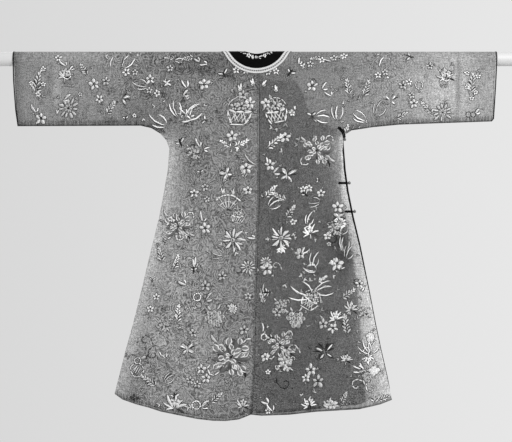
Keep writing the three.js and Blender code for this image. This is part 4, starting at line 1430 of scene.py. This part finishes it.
class StageSettings(bpy.types.PropertyGroup):
    distance: bpy.props.FloatProperty(
        name="Camera distance", description="From the camera to the robe",
        default=6.0, unit="LENGTH")
    field: bpy.props.FloatProperty(
        name="Field", description="Width that the camera sees at the robe",
        default=1.93, unit="LENGTH")
    camera_height: bpy.props.FloatProperty(
        name="Camera height", description="Height of the camera above the rod",
        default=-0.613, unit="LENGTH")
    floor_height: bpy.props.FloatProperty(
        name="Floor height", description="Height of the floor above the rod",
        default=-1.75, unit="LENGTH")
    backdrop: bpy.props.FloatProperty(
        name="Backdrop", description="Lightness behind the robe",
        default=0.745, min=0, max=1)
    key: bpy.props.FloatProperty(
        name="Key light", description="Power of the large soft light",
        default=160, unit="POWER")


def select_faces(piece, wanted):
    """In edit mode, selects the faces that the test wants."""
    bpy.ops.mesh.select_mode(type="FACE")
    bpy.ops.mesh.select_all(action="DESELECT")
    shell = bmesh.from_edit_mesh(piece.data)
    for face in shell.faces:
        face.select = wanted(face)
    shell.select_flush_mode()
    bmesh.update_edit_mesh(piece.data)


def give_place(piece):
    """Puts the object's place, turn and size into its mesh."""
    select_only(piece)
    bpy.ops.object.transform_apply(location=True, rotation=True, scale=True)


def is_end(face):
    return len(face.verts) > 4


class ROBE_OT_rod(bpy.types.Operator):
    """Painted rod with eased ends"""
    bl_idname = "robe.make_rod"
    bl_label = "Make the rod"

    def execute(self, context):
        deselect()
        bpy.ops.mesh.primitive_cylinder_add(
            vertices=96, radius=ROD_RADIUS * MM, depth=ROD_LENGTH * MM,
            rotation=(0, math.pi / 2, 0))
        piece = context.object
        piece.name = "rod_painted"
        bpy.ops.object.mode_set(mode="EDIT")
        select_faces(piece, is_end)
        bpy.ops.mesh.bevel(offset=0.002, segments=3)
        select_faces(piece, is_end)
        bpy.ops.mesh.inset(thickness=0.006)
        bpy.ops.object.mode_set(mode="OBJECT")
        give_place(piece)
        bpy.ops.object.shade_smooth_by_angle(angle=math.radians(30))
        piece.data.materials.append(streaked_paint())
        settle(piece, "rod")
        return {"FINISHED"}


PETALS = stitch(panel_motifs())


class ROBE_OT_body(bpy.types.Operator):
    """Both loom widths, each cut in one piece over the shoulder, with their embroidery"""
    bl_idname = "robe.make_body"
    bl_label = "Make the body"

    def execute(self, context):
        left, right = left_body_outline(), right_body_outline()
        panels = gauze_panel("left_body", left), gauze_panel("right_body", right, under=True)
        shoulder = (PETALS[:, X] > UNDERLAP_SHOWS[0]) & (PETALS[:, Z] > UNDERLAP_SHOWS[1])
        seen = PETALS[(PETALS[:, FACE] == BACK) | shoulder]
        silks = (embroidery("left_body", within(PETALS, left)),
                 embroidery("right_body", within(seen, right), under=True))
        return {"FINISHED"}


class ROBE_OT_overlap(bpy.types.Operator):
    """Outer right front with its embroidery and black binding"""
    bl_idname = "robe.make_overlap"
    bl_label = "Make the overlap"

    def execute(self, context):
        outline = overlap_outline()
        panel = gauze_panel("overlap", outline)
        silk = embroidery("overlap", within(PETALS[PETALS[:, FACE] == FRONT], outline))
        outer = overlap_side()
        inner = [(x - binding_width(z), z) for x, z in outer]
        binding = binding_strip("overlap_binding_satin", "overlap_binding", hang(outer, FRONT),
                                hang(inner, FRONT), 20)
        return {"FINISHED"}


class ROBE_OT_sleeves(bpy.types.Operator):
    """Both sleeve extensions with their embroidery and cuff bindings"""
    bl_idname = "robe.make_sleeves"
    bl_label = "Make the sleeves"

    def execute(self, context):
        for word, edge, cuff, join, side in (("left", LEFT_EDGE, LEFT_CUFF, LEFT_JOIN, -1),
                                             ("right", RIGHT_EDGE, RIGHT_CUFF, RIGHT_JOIN, 1)):
            outline = sleeve_outline(edge, cuff, join, side)
            panel = gauze_panel(f"sleeve_{word}", outline, from_seam=False)
            silk = embroidery(f"sleeve_{word}", within(PETALS, outline))
            inner = over_rod([(x - side * CUFF_BINDING, z) for x, z in cuff])
            binding = binding_strip(f"cuff_{word}_satin", f"cuff_binding_{word}", over_rod(cuff),
                                    inner, 6)
        return {"FINISHED"}


class ROBE_OT_neck(bpy.types.Operator):
    """Black satin band and white braid round the neck"""
    bl_idname = "robe.make_neck"
    bl_label = "Make the neck's trims"

    def execute(self, context):
        slit = math.degrees(HALF_GAP / NECK_RADIUS)
        arc = CLOSURE_ANGLE + slit, CLOSURE_ANGLE + 360 - slit, 3
        band = strip("neck_band_satin", "neck_band", neck_arc(NECK_RADIUS + 1, *arc),
                     neck_arc(BAND_RADIUS - HALF_GAP, *arc), flat_section(BAND_TOP, 14),
                     worn_satin())
        braid = strip("neck_braid_woven", "neck_braid", neck_arc(BAND_RADIUS + HALF_GAP, *arc),
                      neck_arc(BRAID_RADIUS, *arc), flat_section(BRAID_TOP, 10),
                      woven_braid())
        flowers = embroidery("neck_band", stitch(neck_motifs()), BAND_SILK_LIFT)
        return {"FINISHED"}


def hairpin(face, start, end, sag, gap):
    """Flat line of a cord that runs from start to end and back, bowed to one side."""
    start, end = np.array(start), np.array(end)
    length = np.linalg.norm(end - start)
    along = (end - start) / length
    aside = np.array([-along[1], along[0]])
    reach = np.linspace(0, length - gap, 12)
    turn = [polar(gap, angle) for angle in np.linspace(80, -80, 7)]
    line = [(place, gap) for place in reach]
    line += [(length - gap + out, off) for out, off in turn]
    line += [(place, -gap) for place in reach[::-1]]
    flat = []
    for place, off in line:
        bow = 4 * sag * (place / length) * (1 - place / length)
        x, z = start + along * place + aside * (off + bow)
        flat.append((x, float(run_of(z, face))))
    return flat


class ROBE_OT_frogs(bpy.types.Operator):
    """Frogs of doubled satin cord"""
    bl_idname = "robe.make_frogs"
    bl_label = "Make the frogs"

    def execute(self, context):
        turns = np.radians(np.arange(0, 360, 45))
        section = [(0.5 + 0.5 * math.cos(a), CORD_LIFT + CORD_THICK * math.sin(a)) for a in turns]
        for strap in STRAPS:
            ends = (strap.x1, strap.z1), (strap.x2, strap.z2)
            cord = strap.width * CORD_SHARE
            if "loop" in strap.name:
                line = hairpin(strap.face, ends[1], ends[0], -strap.bow, cord)
            else:
                line = hairpin(strap.face, *ends, strap.bow, cord)
            first, second = (offset_line(line, side * cord * CORD_FILL) for side in (-1, 1))
            strip(f"{strap.name}_cord", f"{strap.name}_strap", first, second, section,
                  worn_satin(), strap.under)
        return {"FINISHED"}


def is_flute(face):
    return FLUTE_LOW < abs(face.calc_center_median().normalized().z) < FLUTE_HIGH


class ROBE_OT_buttons(bpy.types.Operator):
    """Ball buttons with fluted sides and a shank"""
    bl_idname = "robe.make_buttons"
    bl_label = "Make the buttons"

    def execute(self, context):
        for name in BUTTONS:
            low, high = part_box(f"{name}_button")
            centre = (np.array(low) + np.array(high)) / 2
            self.make_ball(context, name, centre, float(high[2] - low[2]) / 2)
        return {"FINISHED"}

    def make_ball(self, context, name, centre, radius):
        deselect()
        bpy.ops.mesh.primitive_torus_add(
            major_radius=radius * SHANK_RING, minor_radius=radius * SHANK_WIRE, major_segments=20,
            minor_segments=8, rotation=(0, math.pi / 2, 0),
            location=centre + np.array([0, 0, radius * SHANK_HEIGHT]))
        shank = context.object
        deselect()
        bpy.ops.mesh.primitive_uv_sphere_add(
            segments=24, ring_count=16, radius=radius * BALL, location=centre)
        piece = context.object
        piece.name = f"{name}_ball"
        bpy.ops.object.mode_set(mode="EDIT")
        select_faces(piece, is_flute)
        bpy.ops.mesh.inset(
            thickness=radius * FLUTE_MARGIN, depth=radius * FLUTE_RISE, use_individual=True)
        bpy.ops.object.mode_set(mode="OBJECT")
        shank.select_set(True)
        bpy.ops.object.join()
        give_place(piece)
        bpy.ops.object.shade_smooth()
        piece.data.materials.clear()
        piece.data.materials.append(worn_button_metal())
        settle(piece, f"{name}_button")


class ROBE_OT_stage(bpy.types.Operator):
    """Floor, soft light and the camera"""
    bl_idname = "robe.make_stage"
    bl_label = "Make the stage"

    def execute(self, context):
        settings = context.scene.robe_stage
        context.scene.view_settings.view_transform = "Standard"
        self.make_camera(context, settings)
        self.make_floor(context, settings)
        self.make_world(context, settings)
        self.make_lights(context, settings)
        return {"FINISHED"}

    def make_camera(self, context, settings):
        camera = bpy.data.objects.new("camera", bpy.data.cameras.new("camera"))
        context.scene.collection.objects.link(camera)
        camera.data.lens = camera.data.sensor_width * settings.distance / settings.field
        camera.location = (0, -settings.distance - DRAPE_RADIUS * MM, settings.camera_height)
        camera.rotation_euler = (math.pi / 2, 0, 0)
        context.scene.camera = camera

    def make_floor(self, context, settings):
        deselect()
        bpy.ops.mesh.primitive_circle_add(vertices=96, radius=1.9, fill_type="NGON",
                                          location=(0, 0, settings.floor_height))
        floor = context.object
        floor.name = "studio_floor"
        floor.data.materials.append(studio_floor())
        give_place(floor)

    def make_world(self, context, settings):
        world = bpy.data.worlds.new("studio")
        world.use_nodes = True
        context.scene.world = world
        direction = Value(world.node_tree).node("ShaderNodeTexCoord", {}, {}, "Generated")
        brighter = (1 + part_of(direction, "X") * 0.45).maths("MINIMUM", 1.12).maths("MAXIMUM", 0.9)
        feed(world.node_tree.nodes["Background"], Color=grey(settings.backdrop * brighter))

    def make_lights(self, context, settings):
        for name, place, size, power in (
            ("key", (2.6, -3.4, 1.6), 2.4, settings.key),
            ("fill", (-2.8, 3.2, 1.2), 2.6, settings.key * 0.5),
        ):
            lamp = bpy.data.objects.new(name, bpy.data.lights.new(name, "AREA"))
            context.scene.collection.objects.link(lamp)
            lamp.data.energy = power
            lamp.data.size = size
            lamp.location = place
            lamp.rotation_mode = "QUATERNION"
            aim = Vector((0, 0, -0.6)) - Vector(place)
            lamp.rotation_quaternion = aim.to_track_quat("-Z", "Y")


OPERATORS = [
    ROBE_OT_rod, ROBE_OT_body, ROBE_OT_overlap, ROBE_OT_sleeves, ROBE_OT_neck, ROBE_OT_frogs,
    ROBE_OT_buttons, ROBE_OT_stage,
]
SETTINGS = {
    "robe_gauze": GauzeSettings, "robe_embroidery": EmbroiderySettings,
    "robe_trim": TrimSettings, "robe_stage": StageSettings,
}


class ROBE_PT_sidebar(bpy.types.Panel):
    """Settings and steps of the robe"""
    bl_idname = "ROBE_PT_sidebar"
    bl_label = "Robe"
    bl_space_type = "VIEW_3D"
    bl_region_type = "UI"
    bl_category = "Robe"

    def draw(self, context):
        for name, group in SETTINGS.items():
            box = self.layout.box()
            for key in group.__annotations__:
                box.prop(getattr(context.scene, name), key)
        for operator in OPERATORS:
            self.layout.operator(operator.bl_idname)


def register():
    for name, group in SETTINGS.items():
        bpy.utils.register_class(group)
        setattr(bpy.types.Scene, name, bpy.props.PointerProperty(type=group))
    for kind in OPERATORS + [ROBE_PT_sidebar]:
        bpy.utils.register_class(kind)


def unregister():
    for kind in reversed(OPERATORS + [ROBE_PT_sidebar]):
        bpy.utils.unregister_class(kind)
    for name, group in SETTINGS.items():
        delattr(bpy.types.Scene, name)
        bpy.utils.unregister_class(group)


def main():
    register()
    bpy.ops.robe.make_rod()
    bpy.ops.robe.make_body()
    bpy.ops.robe.make_overlap()
    bpy.ops.robe.make_sleeves()
    bpy.ops.robe.make_neck()
    bpy.ops.robe.make_frogs()
    bpy.ops.robe.make_buttons()
    bpy.ops.robe.make_stage()


if __name__ == "__main__":
    main()
